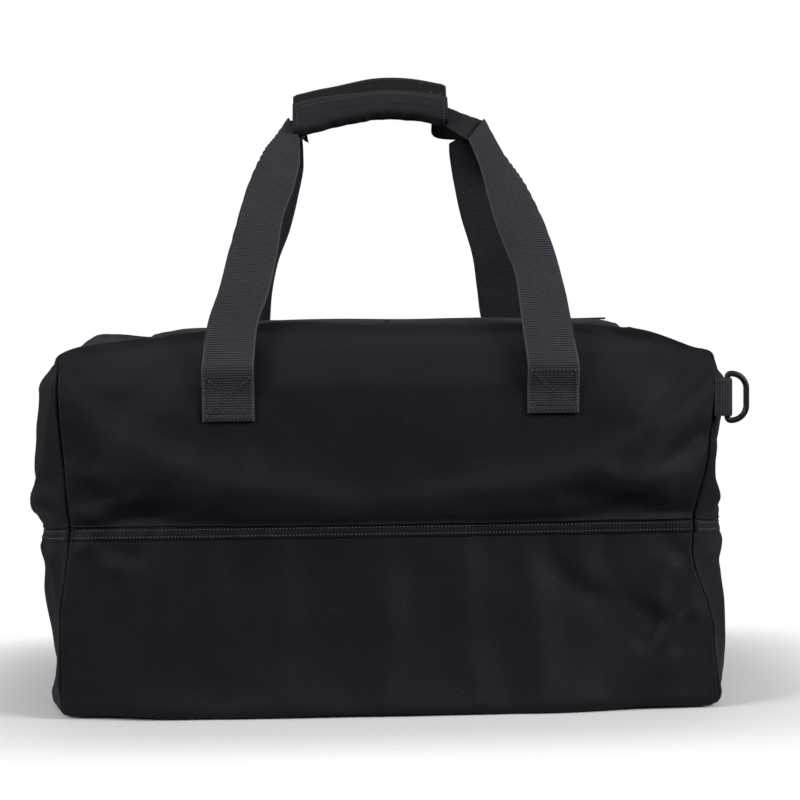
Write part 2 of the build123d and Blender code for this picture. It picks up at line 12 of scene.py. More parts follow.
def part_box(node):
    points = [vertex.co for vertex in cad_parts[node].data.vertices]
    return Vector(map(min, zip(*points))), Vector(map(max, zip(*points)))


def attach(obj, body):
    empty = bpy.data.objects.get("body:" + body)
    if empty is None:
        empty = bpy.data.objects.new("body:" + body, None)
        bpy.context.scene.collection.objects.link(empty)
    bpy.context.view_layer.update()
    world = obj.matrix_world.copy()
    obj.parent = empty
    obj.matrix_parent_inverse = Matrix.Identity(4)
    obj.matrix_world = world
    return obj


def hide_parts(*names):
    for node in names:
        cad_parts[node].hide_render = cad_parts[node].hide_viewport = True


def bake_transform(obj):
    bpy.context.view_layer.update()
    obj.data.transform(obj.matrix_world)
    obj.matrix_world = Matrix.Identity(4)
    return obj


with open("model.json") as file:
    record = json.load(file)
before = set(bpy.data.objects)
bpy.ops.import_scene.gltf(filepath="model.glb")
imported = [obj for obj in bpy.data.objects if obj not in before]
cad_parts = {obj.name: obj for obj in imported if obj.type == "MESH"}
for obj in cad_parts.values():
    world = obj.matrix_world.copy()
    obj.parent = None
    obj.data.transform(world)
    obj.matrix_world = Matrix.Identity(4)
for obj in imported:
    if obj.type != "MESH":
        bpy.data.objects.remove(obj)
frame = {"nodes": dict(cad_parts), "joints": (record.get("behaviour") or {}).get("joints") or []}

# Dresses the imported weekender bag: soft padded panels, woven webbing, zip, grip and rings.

log = logging.getLogger("weekender_bag")

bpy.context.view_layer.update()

Pair = tuple[float, float]
Section = tuple[float, float, float, float, float]
Row = list[tuple[Vector, Vector]]
Face = tuple[int, ...]

UP = Vector((0.0, 0.0, 1.0))
DOWN = -UP


class Side(Enum):
    """The four upright sides of the bag."""

    FRONT = "front"
    BACK = "back"
    LEFT = "left"
    RIGHT = "right"

    @property
    def is_face(self) -> bool:
        """Whether this is one of the two long sides."""
        return self in (Side.FRONT, Side.BACK)

    @property
    def sign(self) -> float:
        """-1 for the front and the left, +1 for the back and the right."""
        return -1.0 if self in (Side.FRONT, Side.LEFT) else 1.0


class Tier(Enum):
    """Below or above the waist seam."""

    LOWER = "lower"
    UPPER = "upper"


# ---------------------------------------------------------------- small tools


def smooth(share: float) -> float:
    """Ease a share between 0 and 1, clamped."""
    t = min(1.0, max(0.0, share))
    return t * t * (3 - 2 * t)


def mix(a: float, b: float, share: float) -> float:
    """Blend two numbers."""
    return a + (b - a) * share


def hump(distance: float, width: float) -> float:
    """A smooth bump of height 1 that dies away over the width."""
    return math.exp(-((distance / width) ** 2))


def soft_noise(point: Vector, scale: float, seed: float = 0.0) -> float:
    """Smooth noise between about -1 and 1, with features of the scale's size and a pattern for each seed."""
    return noise.noise(point / scale + Vector((seed, seed * 1.7, -seed)))


def hermite(f: float) -> tuple[float, float, float, float]:
    """Return the weights of both ends and both slopes at a share of a smooth span."""
    end = 3 * f**2 - 2 * f**3
    return 2 * f**3 - 3 * f**2 + 1, f**3 - 2 * f**2 + f, end, f**3 - f**2


def spline_through(rows: Sequence[Sequence[float]], t: float) -> tuple[float, ...]:
    """Read a smooth curve through rows of numbers.

    Args:
        rows: The values to pass through, evenly spaced in t.
        t: Place along the curve, from 0 to 1.

    Returns:
        The values there.
    """
    last = len(rows) - 1
    place = min(max(t, 0.0), 1.0) * last
    index = min(int(place), last - 1)
    h00, h10, h01, h11 = hermite(place - index)
    before, after = rows[max(index - 1, 0)], rows[min(index + 2, last)]
    out = []
    for a, b, c, d in zip(before, rows[index], rows[index + 1], after):
        lean_in, lean_out = (c - a) / 2, (d - b) / 2
        if (b - a) * (c - b) <= 0 and index > 0:
            lean_in = 0.0
        if (c - b) * (d - c) <= 0 and index + 2 <= last:
            lean_out = 0.0
        out.append(h00 * b + h10 * lean_in + h01 * c + h11 * lean_out)
    return tuple(out)


def value_through(values: Sequence[float], t: float) -> float:
    """Read a smooth curve through evenly spaced values at a share from 0 to 1."""
    return spline_through([(value,) for value in values], t)[0]


def mesh_object(
    name: str, points: Sequence[Vector], faces: Sequence[Sequence[int]], uvs: Sequence[Pair] | None = None
) -> bpy.types.Object:
    """Make a smooth-shaded mesh object at the origin.

    Args:
        name: The object's name.
        points: Vertex places in metres.
        faces: Vertex numbers of each face.
        uvs: One surface place in metres for each vertex, for weaves.

    Returns:
        The new object, linked to the scene.
    """
    mesh = bpy.data.meshes.new(name)
    mesh.from_pydata([tuple(p) for p in points], [], [tuple(f) for f in faces])
    mesh.polygons.foreach_set("use_smooth", [True] * len(mesh.polygons))
    if uvs is not None:
        layer = mesh.uv_layers.new(name="surface")
        flat = [value for loop in mesh.loops for value in uvs[loop.vertex_index]]
        layer.data.foreach_set("uv", flat)
    mesh.update()
    made = bpy.data.objects.new(name, mesh)
    bpy.context.scene.collection.objects.link(made)
    return made


def grid_faces(rows: int, columns: int, closed: bool = False, first: int = 0) -> list[Face]:
    """List the quads of a grid of vertices.

    Args:
        rows: Number of rows.
        columns: Vertices in each row.
        closed: Whether each row is a ring.
        first: Number of the first vertex.

    Returns:
        The quads.
    """
    faces = []
    for r in range(rows - 1):
        for c in range(columns if closed else columns - 1):
            d = (c + 1) % columns
            a = first + r * columns
            b = a + columns
            faces.append((a + c, a + d, b + d, b + c))
    return faces


def turned_over(faces: Iterable[Face]) -> list[Face]:
    """Make faces look the other way."""
    return [tuple(reversed(face)) for face in faces]


def tube_faces(rings: int, around: int, first: int = 0, turned: bool = False) -> list[Face]:
    """List the faces of a tube that is closed at both ends.

    Args:
        rings: Number of rings.
        around: Vertices in each ring.
        first: Number of the first vertex.
        turned: Whether its rings run the other way round.

    Returns:
        The walls, then both caps.
    """
    last = first + (rings - 1) * around
    faces = grid_faces(rings, around, closed=True, first=first)
    faces.append(tuple(range(first + around - 1, first - 1, -1)))
    faces.append(tuple(range(last, last + around)))
    return turned_over(faces) if turned else faces


def slab_faces(rows: int, columns: int) -> list[Face]:
    """List the faces of a slab made of two grids of vertices, one behind the other.

    Args:
        rows: Number of rows.
        columns: Vertices in each row.

    Returns:
        Both faces, then the rim that joins them.
    """
    count = rows * columns
    faces = grid_faces(rows, columns)
    faces += turned_over(grid_faces(rows, columns, first=count))
    edge = [(0, c) for c in range(columns)] + [(r, columns - 1) for r in range(1, rows)]
    edge += [(rows - 1, c) for c in range(columns - 2, -1, -1)] + [(r, 0) for r in range(rows - 2, 0, -1)]
    ring = [r * columns + c for r, c in edge]
    return faces + [(b, a, count + a, count + b) for a, b in zip(ring, ring[1:] + ring[:1])]


def join_parts(name: str, parts: Sequence[bpy.types.Object]) -> bpy.types.Object:
    """Join loose objects into one piece and name it.

    Args:
        name: The piece's name.
        parts: The objects, which all become one.

    Returns:
        The joined object.
    """
    for other in bpy.context.selected_objects:
        other.select_set(False)
    for part in parts:
        part.select_set(True)
    bpy.context.view_layer.objects.active = parts[0]
    if len(parts) > 1:
        bpy.ops.object.join()
    made = bpy.context.view_layer.objects.active
    made.name = name
    made.data.name = name
    made.select_set(False)
    return made


def thicken(
    name: str,
    grid: Sequence[Sequence[Vector]],
    thickness: float,
    inward: Callable[[Vector], Vector],
    uv: Callable[[int, int], Pair],
) -> bpy.types.Object:
    """Make a cloth slab of even thickness from a grid of outer points.

    Args:
        name: The object's name.
        grid: Rows of points on the outer face.
        thickness: The cloth's thickness in metres.
        inward: Gives the direction into the bag at a point.
        uv: Gives the surface place from a row and column.

    Returns:
        The closed slab.
    """
    rows, columns = len(grid), len(grid[0])
    outer = [p for row in grid for p in row]
    inner = [p + inward(p) * thickness for p in outer]
    uvs = [uv(r, c) for r in range(rows) for c in range(columns)]
    return mesh_object(name, outer + inner, slab_faces(rows, columns), uvs + uvs)


# Each stitch's rings: share along it, share of the thread's girth, lift in thread widths.
STITCH_RINGS = ((0.0, 0.35, -0.25), (0.28, 1.0, 0.3), (0.72, 1.0, 0.3), (1.0, 0.35, -0.25))
STITCH_SIDES = 5
STITCH_GAP = 0.22


def stitch_beads(
    name: str, path: Sequence[Vector], outward: Callable[[Vector], Vector], pitch: float, thread: float
) -> bpy.types.Object:
    """Lay a row of thread stitches along a path.

    Args:
        name: The object's name.
        path: Points of the row on the cloth.
        outward: Gives the direction off the cloth at a point.
        pitch: Distance from one stitch to the next.
        thread: The thread's diameter.

    Returns:
        One mesh holding all the stitches of the row.
    """
    lengths = [0.0]
    for a, b in zip(path, path[1:]):
        lengths.append(lengths[-1] + (b - a).length)
    count = max(1, round(lengths[-1] / pitch))
    step = lengths[-1] / count
    points: list[Vector] = []
    faces: list[Face] = []

    def at(distance: float) -> Vector:
        """Read the path at a distance from its start."""
        index = 1
        while index < len(lengths) - 1 and lengths[index] < distance:
            index += 1
        span = max(1e-9, lengths[index] - lengths[index - 1])
        return path[index - 1].lerp(path[index], (distance - lengths[index - 1]) / span)

    for number in range(count):
        head, tail = at((number + STITCH_GAP) * step), at((number + 1 - STITCH_GAP) * step)
        along = (tail - head).normalized()
        off = outward((head + tail) / 2)
        across = along.cross(off).normalized()
        start = len(points)
        for share, girth, lift in STITCH_RINGS:
            centre = head.lerp(tail, share) + off * thread * lift
            for corner in range(STITCH_SIDES):
                turn = math.tau * corner / STITCH_SIDES
                arm = across * math.cos(turn) + off * math.sin(turn)
                points.append(centre + arm * thread * 0.5 * girth)
        faces += tube_faces(len(STITCH_RINGS), STITCH_SIDES, first=start)
    return mesh_object(name, points, faces)


# ---------------------------------------------------------------- shader groups


Value = float | bpy.types.NodeSocket


class Graph:
    """A thin helper that adds and links shader nodes in one tree."""

    def __init__(self, tree: bpy.types.NodeTree) -> None:
        """Keep the tree."""
        self.tree = tree

    def add(self, kind: str, **settings) -> bpy.types.Node:
        """Add a node of a kind and set its properties."""
        node = self.tree.nodes.new(kind)
        for key, value in settings.items():
            setattr(node, key, value)
        return node

    def link(self, source: bpy.types.NodeSocket, target: bpy.types.NodeSocket) -> None:
        """Join two sockets."""
        self.tree.links.new(source, target)

    def feed(self, socket: bpy.types.NodeSocket, value: Value) -> None:
        """Give a socket a number, or link another socket to it."""
        if isinstance(value, bpy.types.NodeSocket):
            self.link(value, socket)
        else:
            socket.default_value = value

    def math(self, operation: str, *values: Value) -> bpy.types.NodeSocket:
        """Add a Math node.

        Args:
            operation: The node's operation.
            values: Numbers or sockets for its inputs, in order.

        Returns:
            The result socket.
        """
        node = self.add("ShaderNodeMath", operation=operation)
        for socket, value in zip(node.inputs, values):
            self.feed(socket, value)
        return node.outputs[0]

    def noise(self, vector: bpy.types.NodeSocket, scale: Value, detail: float) -> bpy.types.NodeSocket:
        """Add a Noise Texture and return its value.

        Args:
            vector: Where to read it.
            scale: Number or socket for its scale.
            detail: Octaves of finer noise.

        Returns:
            The value socket.
        """
        node = self.add("ShaderNodeTexNoise", noise_dimensions="3D")
        self.link(vector, node.inputs["Vector"])
        node.inputs["Detail"].default_value = detail
        self.feed(node.inputs["Scale"], scale)
        return node.outputs["Fac"]

    def ramp(
        self, value: bpy.types.NodeSocket, low: float, high: float, to_low: float = 0.0, to_high: float = 1.0
    ) -> bpy.types.NodeSocket:
        """Map a value smoothly from one range to another.

        Args:
            value: The socket to map.
            low: Value that gives to_low.
            high: Value that gives to_high.
            to_low: Result at low.
            to_high: Result at high.

        Returns:
            The result socket.
        """
        node = self.add("ShaderNodeMapRange", interpolation_type="SMOOTHSTEP")
        self.link(value, node.inputs["Value"])
        for key, number in (("From Min", low), ("From Max", high), ("To Min", to_low), ("To Max", to_high)):
            node.inputs[key].default_value = number
        return node.outputs["Result"]


class Group(Graph):
    """A shader node group with named value sockets."""

    def __init__(self, name: str, inputs: dict[str, float], outputs: Iterable[str]) -> None:
        """Start the group.

        Args:
            name: The group's name.
            inputs: Input names with their defaults.
            outputs: Output names.
        """
        super().__init__(bpy.data.node_groups.new(name, "ShaderNodeTree"))
        for key, value in inputs.items():
            socket = self.tree.interface.new_socket(key, in_out="INPUT", socket_type="NodeSocketFloat")
            socket.default_value = value
        for key in outputs:
            self.tree.interface.new_socket(key, in_out="OUTPUT", socket_type="NodeSocketFloat")
        self.given = self.add("NodeGroupInput").outputs
        self.out = self.add("NodeGroupOutput").inputs

    def surface_place(self) -> tuple[bpy.types.NodeSocket, bpy.types.NodeSocket, bpy.types.NodeSocket]:
        """Read the cloth's own coordinates: the whole, along it and across it."""
        uv = self.add("ShaderNodeUVMap", uv_map="surface").outputs[0]
        split = self.add("ShaderNodeSeparateXYZ")
        self.link(uv, split.inputs[0])
        return uv, split.outputs[0], split.outputs[1]


WEBBING_WIDTH = 0.038
SELVEDGE_WIDTH = 0.0008
SELVEDGE_BLUR = 0.0010


def woven_strap_group() -> bpy.types.NodeTree:
    """Build the ribbed weave of heavy webbing, read along its own length and width.

    Returns:
        A group with Pitch and Fuzz inputs and outputs for the Height, the gaps between picks (a mask for
        painted shade) and the Selvedge.
    """
    g = Group("woven_strap", {"Pitch": 0.0016, "Fuzz": 0.3}, ("Height", "GapShade", "Selvedge"))
    uv, along, across = g.surface_place()
    turns_u = g.math("DIVIDE", along, g.given["Pitch"])
    turns_v = g.math("DIVIDE", across, g.given["Pitch"])
    wave_u = g.math("SINE", g.math("MULTIPLY", turns_u, math.pi))
    wave_v = g.math("SINE", g.math("MULTIPLY", turns_v, math.pi))
    cross = g.math("MULTIPLY", wave_u, wave_v)
    ribs = g.math("MULTIPLY_ADD", g.math("ABSOLUTE", wave_v), 0.65, 0.35)
    dots = g.math("MULTIPLY", g.math("ABSOLUTE", wave_u), ribs)
    over = g.ramp(cross, -0.15, 0.15, 0.82, 1.0)
    raised = g.math("MULTIPLY", g.math("POWER", dots, 0.6), over)
    fibre = g.noise(uv, 2600.0, 2.0)
    fuzz = g.math("MULTIPLY", g.math("SUBTRACT", fibre, 0.5), g.given["Fuzz"])
    g.link(g.math("ADD", raised, fuzz), g.out["Height"])
    # The gap mask marks the hollows between picks, where the webbing's colour paints shade.
    g.link(g.ramp(dots, 0.05, 0.60, 1.0, 0.0), g.out["GapShade"])
    from_middle = g.math("ABSOLUTE", g.math("SUBTRACT", across, WEBBING_WIDTH / 2))
    edge = WEBBING_WIDTH / 2 - SELVEDGE_WIDTH
    g.link(g.ramp(from_middle, edge - SELVEDGE_BLUR, edge), g.out["Selvedge"])
    return g.tree


def fine_twill_group() -> bpy.types.NodeTree:
    """Build the fine diagonal twill of coated nylon cloth.

    Returns:
        A group with Pitch and Grain inputs and a Height output.
    """
    g = Group("fine_twill", {"Pitch": 0.0007, "Grain": 0.5}, ("Height",))
    uv, along, across = g.surface_place()
    diagonal = g.math("ADD", along, across)
    ridge, weft = (
        g.math("SINE", g.math("DIVIDE", g.math("MULTIPLY", way, math.tau), g.given["Pitch"]))
        for way in (diagonal, across)
    )
    twill = g.math("ADD", g.math("MULTIPLY", ridge, 0.6), g.math("MULTIPLY", weft, 0.4))
    grain = g.math("MULTIPLY", g.noise(uv, 900.0, 4.0), g.given["Grain"])
    g.link(g.math("ADD", g.math("MULTIPLY", twill, 0.5), grain), g.out["Height"])
    return g.tree


def cloth_age_group() -> bpy.types.NodeTree:
    """Build the uneven tone, lint specks and rubbed patches that used cloth has.

    Returns:
        A group with Patch and Speck inputs and Tone, Lint and Rub outputs.
    """
    g = Group("cloth_age", {"Patch": 9.0, "Speck": 900.0}, ("Tone", "Lint", "Rub"))
    place = g.add("ShaderNodeTexCoord").outputs["Object"]
    broad = g.noise(place, g.given["Patch"], 4.0)
    g.link(g.ramp(broad, 0.3, 0.7), g.out["Tone"])
    specks = g.noise(place, g.given["Speck"], 1.0)
    drift = g.noise(place, 40.0, 2.0)
    lint = g.math("MULTIPLY", g.ramp(specks, 0.70, 0.76), g.ramp(drift, 0.45, 0.65))
    g.link(lint, g.out["Lint"])
    g.link(g.ramp(g.noise(place, 26.0, 6.0), 0.52, 0.74), g.out["Rub"])
    return g.tree


def scuff_group() -> bpy.types.NodeTree:
    """Build the fine scuffs and worn-through spots of coated metal.

    Returns:
        A group with a Fineness input and Scuff and Grain outputs.
    """
    g = Group("scuffed_coat", {"Fineness": 380.0}, ("Scuff", "Grain"))
    place = g.add("ShaderNodeTexCoord").outputs["Object"]
    g.link(g.ramp(g.noise(place, g.given["Fineness"], 5.0), 0.60, 0.70), g.out["Scuff"])
    g.link(g.noise(place, 1600.0, 2.0), g.out["Grain"])
    return g.tree


class Effects:
    """The shader groups that several finishes share, built once."""

    def __init__(self) -> None:
        """Build every group."""
        self.strap = woven_strap_group()
        self.twill = fine_twill_group()
        self.age = cloth_age_group()
        self.scuff = scuff_group()

    @staticmethod
    def place(graph: Graph, group: bpy.types.NodeTree, **values: float) -> bpy.types.Node:
        """Put a group in a material with its own values.

        Args:
            graph: The material's graph.
            group: The shared group.
            values: Input values, with underscores for spaces.

        Returns:
            The group node.
        """
        node = graph.add("ShaderNodeGroup", node_tree=group)
        for key, value in values.items():
            node.inputs[key.replace("_", " ")].default_value = value
        return node


# ---------------------------------------------------------------- finishes

Colour = tuple[float, float, float]


COOL_TINT = (0.87, 0.90, 1.0, 1.0)
LINT = (0.2, 0.2, 0.2)
TAPE_LINT = (0.25, 0.25, 0.26)


def set_values(node: bpy.types.Node, values: dict[str, object]) -> None:
    """Set a node's inputs by name."""
    for key, value in values.items():
        node.inputs[key].default_value = value


def lighter(colour: Colour, times: float) -> Colour:
    """Make a colour brighter by a factor."""
    return tuple(channel * times for channel in colour)


def start_material(name: str) -> tuple[bpy.types.Material, Graph, bpy.types.Node]:
    """Start a material with an empty Principled shader.

    Args:
        name: The material's name.

    Returns:
        The material, its graph and the shader node.
    """
    material = bpy.data.materials.new(name)
    material.use_nodes = True
    graph = Graph(material.node_tree)
    return material, graph, material.node_tree.nodes["Principled BSDF"]


def tint(graph: Graph, share: bpy.types.NodeSocket, low: Colour, high: Colour) -> bpy.types.NodeSocket:
    """Blend two colours by a socket.

    Args:
        graph: The material's graph.
        share: The socket that picks between them.
        low: Colour at 0.
        high: Colour at 1.

    Returns:
        The colour socket.
    """
    node = graph.add("ShaderNodeMix", data_type="RGBA")
    graph.link(share, node.inputs["Factor"])
    set_values(node, {"A": (*low, 1.0), "B": (*high, 1.0)})
    return node.outputs["Result"]


def over(
    graph: Graph, share: bpy.types.NodeSocket, base: bpy.types.NodeSocket, top: Colour
) -> bpy.types.NodeSocket:
    """Lay a colour over a colour socket where a mask is.

    Args:
        graph: The material's graph.
        share: The mask socket.
        base: The colour socket beneath.
        top: The colour laid over it.

    Returns:
        The colour socket.
    """
    node = graph.add("ShaderNodeMix", data_type="RGBA")
    graph.link(share, node.inputs["Factor"])
    graph.link(base, node.inputs["A"])
    node.inputs["B"].default_value = (*top, 1.0)
    return node.outputs["Result"]


def bump(graph: Graph, height: bpy.types.NodeSocket, shader: bpy.types.Node, distance: float) -> None:
    """Feed a height to the shader's normal.

    Args:
        graph: The material's graph.
        height: The height socket.
        shader: The Principled shader.
        distance: Depth of the relief in metres.
    """
    node = graph.add("ShaderNodeBump")
    set_values(node, {"Distance": distance, "Strength": 1.0})
    graph.link(height, node.inputs["Height"])
    graph.link(node.outputs["Normal"], shader.inputs["Normal"])


@dataclass(frozen=True)
class ClothFinish:
    """A plain cloth: two tones, lint, a weave and a soft sheen."""

    name: str
    dark: Colour
    light: Colour
    lint: Colour = (0.10, 0.10, 0.11)
    pick: Colour = (0.0105, 0.0112, 0.0150)
    lint_share: float = 0.35
    roughness: float = 0.60
    specular: float = 0.20
    sheen: float = 0.03
    pitch: float = 0.0012
    depth: float = 0.00014
    weave_tone: float = 0.30
    patch: float = 9.0
    rub_shine: float = 0.08

    def build(self, effects: Effects) -> bpy.types.Material:
        """Make the material.

        Args:
            effects: The shared shader groups.

        Returns:
            The material.
        """
        material, g, shader = start_material(self.name)
        age = effects.place(g, effects.age, Patch=self.patch)
        weave = effects.place(g, effects.twill, Pitch=self.pitch)
        base = tint(g, age.outputs["Tone"], self.dark, self.light)
        picks = over(g, g.math("MULTIPLY", weave.outputs["Height"], self.weave_tone), base, self.pick)
        lint = g.math("MULTIPLY", age.outputs["Lint"], self.lint_share)
        g.link(over(g, lint, picks, self.lint), shader.inputs["Base Color"])
        rough = g.math("ADD", g.math("MULTIPLY", age.outputs["Rub"], -self.rub_shine), self.roughness)
        g.link(rough, shader.inputs["Roughness"])
        sheen = {"Sheen Weight": self.sheen, "Sheen Roughness": 0.5}
        set_values(shader, {"Specular IOR Level": self.specular, "Specular Tint": COOL_TINT, **sheen})
        bump(g, weave.outputs["Height"], shader, self.depth)
        return material


@dataclass(frozen=True)
class WebbingFinish:
    """Heavy woven webbing: raised picks in the yarn colour, with painted shade (a dark colour) in the gaps
    between them.
    """

    name: str
    yarn: Colour
    # Dark colour painted into the gaps between picks as shade.
    gap: Colour
    pitch: float = 0.0019
    depth: float = 0.00035
    low_roughness: float = 0.78
    pick_shine: float = 0.12
    gap_shade_share: float = 0.85
    worn: float = 1.22
    selvedge: float = 1.7
    lint_share: float = 0.25

    def build(self, effects: Effects) -> bpy.types.Material:
        """Make the material.

        Args:
            effects: The shared shader groups.

        Returns:
            The material.
        """
        material, g, shader = start_material(self.name)
        weave = effects.place(g, effects.strap, Pitch=self.pitch)
        age = effects.place(g, effects.age, Patch=22.0)
        yarn = tint(g, age.outputs["Tone"], self.yarn, lighter(self.yarn, self.worn))
        # Painted shade: the gaps between picks take the dark gap colour.
        ribbed = over(g, g.math("MULTIPLY", weave.outputs["GapShade"], self.gap_shade_share), yarn, self.gap)
        colour = over(g, weave.outputs["Selvedge"], ribbed, lighter(self.yarn, self.selvedge))
        lint = g.math("MULTIPLY", age.outputs["Lint"], self.lint_share)
        g.link(over(g, lint, colour, LINT), shader.inputs["Base Color"])
        shine = g.math("MULTIPLY", weave.outputs["Height"], -self.pick_shine)
        rough = g.math("ADD", shine, self.low_roughness)
        g.link(rough, shader.inputs["Roughness"])
        set_values(shader, {"Specular IOR Level": 0.15, "Sheen Weight": 0.02})
        bump(g, weave.outputs["Height"], shader, self.depth)
        return material


@dataclass(frozen=True)
class PileFinish:
    """Hook or loop tape: a matt fuzzy pile with caught lint."""

    name: str
    colour: Colour
    lint_share: float
    grain: float
    paler: float = 1.8
    depth: float = 0.0006

    def build(self, effects: Effects) -> bpy.types.Material:
        """Make the material.

        Args:
            effects: The shared shader groups.

        Returns:
            The material.
        """
        material, g, shader = start_material(self.name)
        age = effects.place(g, effects.age, Patch=60.0, Speck=520.0)
        place = g.add("ShaderNodeTexCoord").outputs["Object"]
        pile = g.noise(place, self.grain, 2.0)
        base = tint(g, pile, self.colour, lighter(self.colour, self.paler))
        lint = g.math("MULTIPLY", age.outputs["Lint"], self.lint_share)
        g.link(over(g, lint, base, TAPE_LINT), shader.inputs["Base Color"])
        g.link(g.ramp(pile, 0.3, 0.7, 0.95, 0.8), shader.inputs["Roughness"])
        set_values(shader, {"Specular IOR Level": 0.15, "Sheen Weight": 0.05})
        bump(g, pile, shader, self.depth)
        return material


@dataclass(frozen=True)
class HardFinish:
    """Coated metal or moulded plastic with fine scuffs."""

    name: str
    colour: Colour
    scuffed: Colour
    roughness: float
    metallic: float = 0.0
    specular: float = 0.5
    fineness: float = 380.0
    grain: float = 0.16
    depth: float = 0.00004

    def build(self, effects: Effects) -> bpy.types.Material:
        """Make the material.

        Args:
            effects: The shared shader groups.

        Returns:
            The material.
        """
        material, g, shader = start_material(self.name)
        wear = effects.place(g, effects.scuff, Fineness=self.fineness)
        g.link(tint(g, wear.outputs["Scuff"], self.colour, self.scuffed), shader.inputs["Base Color"])
        uneven = g.math("MULTIPLY", wear.outputs["Grain"], self.grain)
        rough = g.math("ADD", uneven, self.roughness - self.grain / 2)
        g.link(rough, shader.inputs["Roughness"])
        set_values(shader, {"Metallic": self.metallic, "Specular IOR Level": self.specular})
        bump(g, wear.outputs["Grain"], shader, self.depth)
        return material


class Finishes:
    """Every finish of the bag, built once."""

    def __init__(self, effects: Effects) -> None:
        """Build the materials.

        Args:
            effects: The shared shader groups.
        """
        dark = (0.0044, 0.0049, 0.0076)
        self.nylon = ClothFinish("padded_nylon", dark, (0.0060, 0.0066, 0.0099)).build(effects)
        self.band = ClothFinish("band_nylon", dark, (0.0058, 0.0064, 0.0096), pitch=0.0009).build(effects)
        self.grip = ClothFinish(
            "grip_cloth", (0.0138, 0.0144, 0.0185), (0.0180, 0.0187, 0.0235), roughness=0.8, patch=30.0
        ).build(effects)
        self.lining = ClothFinish(
            "lining_cloth",
            (0.035, 0.036, 0.040),
            (0.045, 0.046, 0.050),
            roughness=0.55,
            pitch=0.0005,
            sheen=0.05,
        ).build(effects)
        self.tape = ClothFinish(
            "zip_tape_cloth", (0.008, 0.008, 0.009), (0.012, 0.012, 0.013), pitch=0.0010
        ).build(effects)
        # The gap colours paint shade into the hollows of the weave.
        yarn, gap = (0.038, 0.039, 0.048), (0.005, 0.005, 0.007)
        self.webbing = WebbingFinish("charcoal_webbing", yarn, gap).build(effects)
        # A darker copy of the webbing: painted shade for the folded runs into the grip.
        self.webbing_shaded_copy = WebbingFinish(
            "webbing_painted_shade_copy", (0.016, 0.0165, 0.020), (0.006, 0.006, 0.008), depth=0.00015
        ).build(effects)
        self.hook = PileFinish("hook_tape", (0.0062, 0.0062, 0.0070), 0.9, 1500.0).build(effects)
        self.thread = HardFinish(
            "stitch_thread", (0.090, 0.092, 0.105), (0.120, 0.122, 0.135), 0.65, specular=0.2
        ).build(effects)
        self.pale_thread = HardFinish(
            "webbing_thread", (0.075, 0.077, 0.088), (0.10, 0.10, 0.115), 0.6, specular=0.2
        ).build(effects)
        self.plastic = HardFinish(
            "tooth_plastic", (0.010, 0.010, 0.011), (0.016, 0.016, 0.017), 0.38
        ).build(effects)
        self.metal = HardFinish(
            "black_coated_metal", (0.010, 0.010, 0.011), (0.022, 0.022, 0.024), 0.42, specular=0.3
        ).build(effects)
        self.board = HardFinish(
            "base_board", (0.030, 0.030, 0.030), (0.045, 0.044, 0.042), 0.6, fineness=90.0
        ).build(effects)


def dress(piece: bpy.types.Object, finish: bpy.types.Material, body: str) -> None:
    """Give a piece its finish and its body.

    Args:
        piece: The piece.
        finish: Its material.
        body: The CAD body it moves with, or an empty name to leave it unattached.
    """
    piece.data.materials.clear()
    piece.data.materials.append(finish)
    if body:
        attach(piece, body)
    log.info("piece %s: %d faces", piece.name, len(piece.data.polygons))


# ---------------------------------------------------------------- the body's form


@dataclass(frozen=True)
class Level:
    """One height of the body: the corner seams' half sizes and how far the panels stand out."""

    z: float
    half_length: float
    half_depth: float
    end_bulge: float
    face_bulge: float

    def row(self) -> Section:
        """Return the level's numbers in order."""
        return (self.z, self.half_length, self.half_depth, self.end_bulge, self.face_bulge)

    def half(self, side: Side) -> float:
        """Return half the distance between the corner seams that bound a side."""
        return self.half_length if side.is_face else self.half_depth


class RisingCurve:
    """A smooth curve through the levels that never swings past them."""

    def __init__(self, levels: Sequence[Level]) -> None:
        """Work out the knots and the slopes.

        Args:
            levels: The levels from the lowest to the highest.
        """
        self.rows = [level.row() for level in levels]
        self.knots = [0.0]
        for a, b in zip(self.rows, self.rows[1:]):
            self.knots.append(self.knots[-1] + math.hypot(b[0] - a[0], b[2] - a[2]))
        self.length = self.knots[-1]
        gaps = [b - a for a, b in zip(self.knots, self.knots[1:])]
        rises = [[(q - p) / gap for p, q in zip(a, b)] for a, b, gap in zip(self.rows, self.rows[1:], gaps)]
        self.slopes = [rises[0]]
        for before, after in zip(rises, rises[1:]):
            self.slopes.append([2 * p * q / (p + q) if p * q > 0 else 0.0 for p, q in zip(before, after)])
        self.slopes.append(rises[-1])

    def at(self, share: float) -> Section:
        """Read the curve.

        Args:
            share: Place along it, from 0 to 1.

        Returns:
            The level there.
        """
        place = min(max(share, 0.0), 1.0) * self.length
        index = 0
        while index < len(self.knots) - 2 and self.knots[index + 1] < place:
            index += 1
        gap = self.knots[index + 1] - self.knots[index]
        h00, h10, h01, h11 = hermite((place - self.knots[index]) / gap)
        values = zip(self.rows[index], self.rows[index + 1], self.slopes[index], self.slopes[index + 1])
        return tuple(h00 * a + h10 * gap * c + h01 * b + h11 * gap * d for a, b, c, d in values)


Table = tuple[tuple[float, ...], ...]


def piecewise(rows: Table, place: float) -> tuple[float, ...]:
    """Read values that ease from one row to the next.

    Args:
        rows: Rows of a place and its values, in rising order of place.
        place: Where to read.

    Returns:
        The values there.
    """
    if place <= rows[0][0]:
        return rows[0][1:]
    for before, after in zip(rows, rows[1:]):
        if place <= after[0]:
            share = smooth((place - before[0]) / (after[0] - before[0]))
            return tuple(mix(a, b, share) for a, b in zip(before[1:], after[1:]))
    return rows[-1][1:]


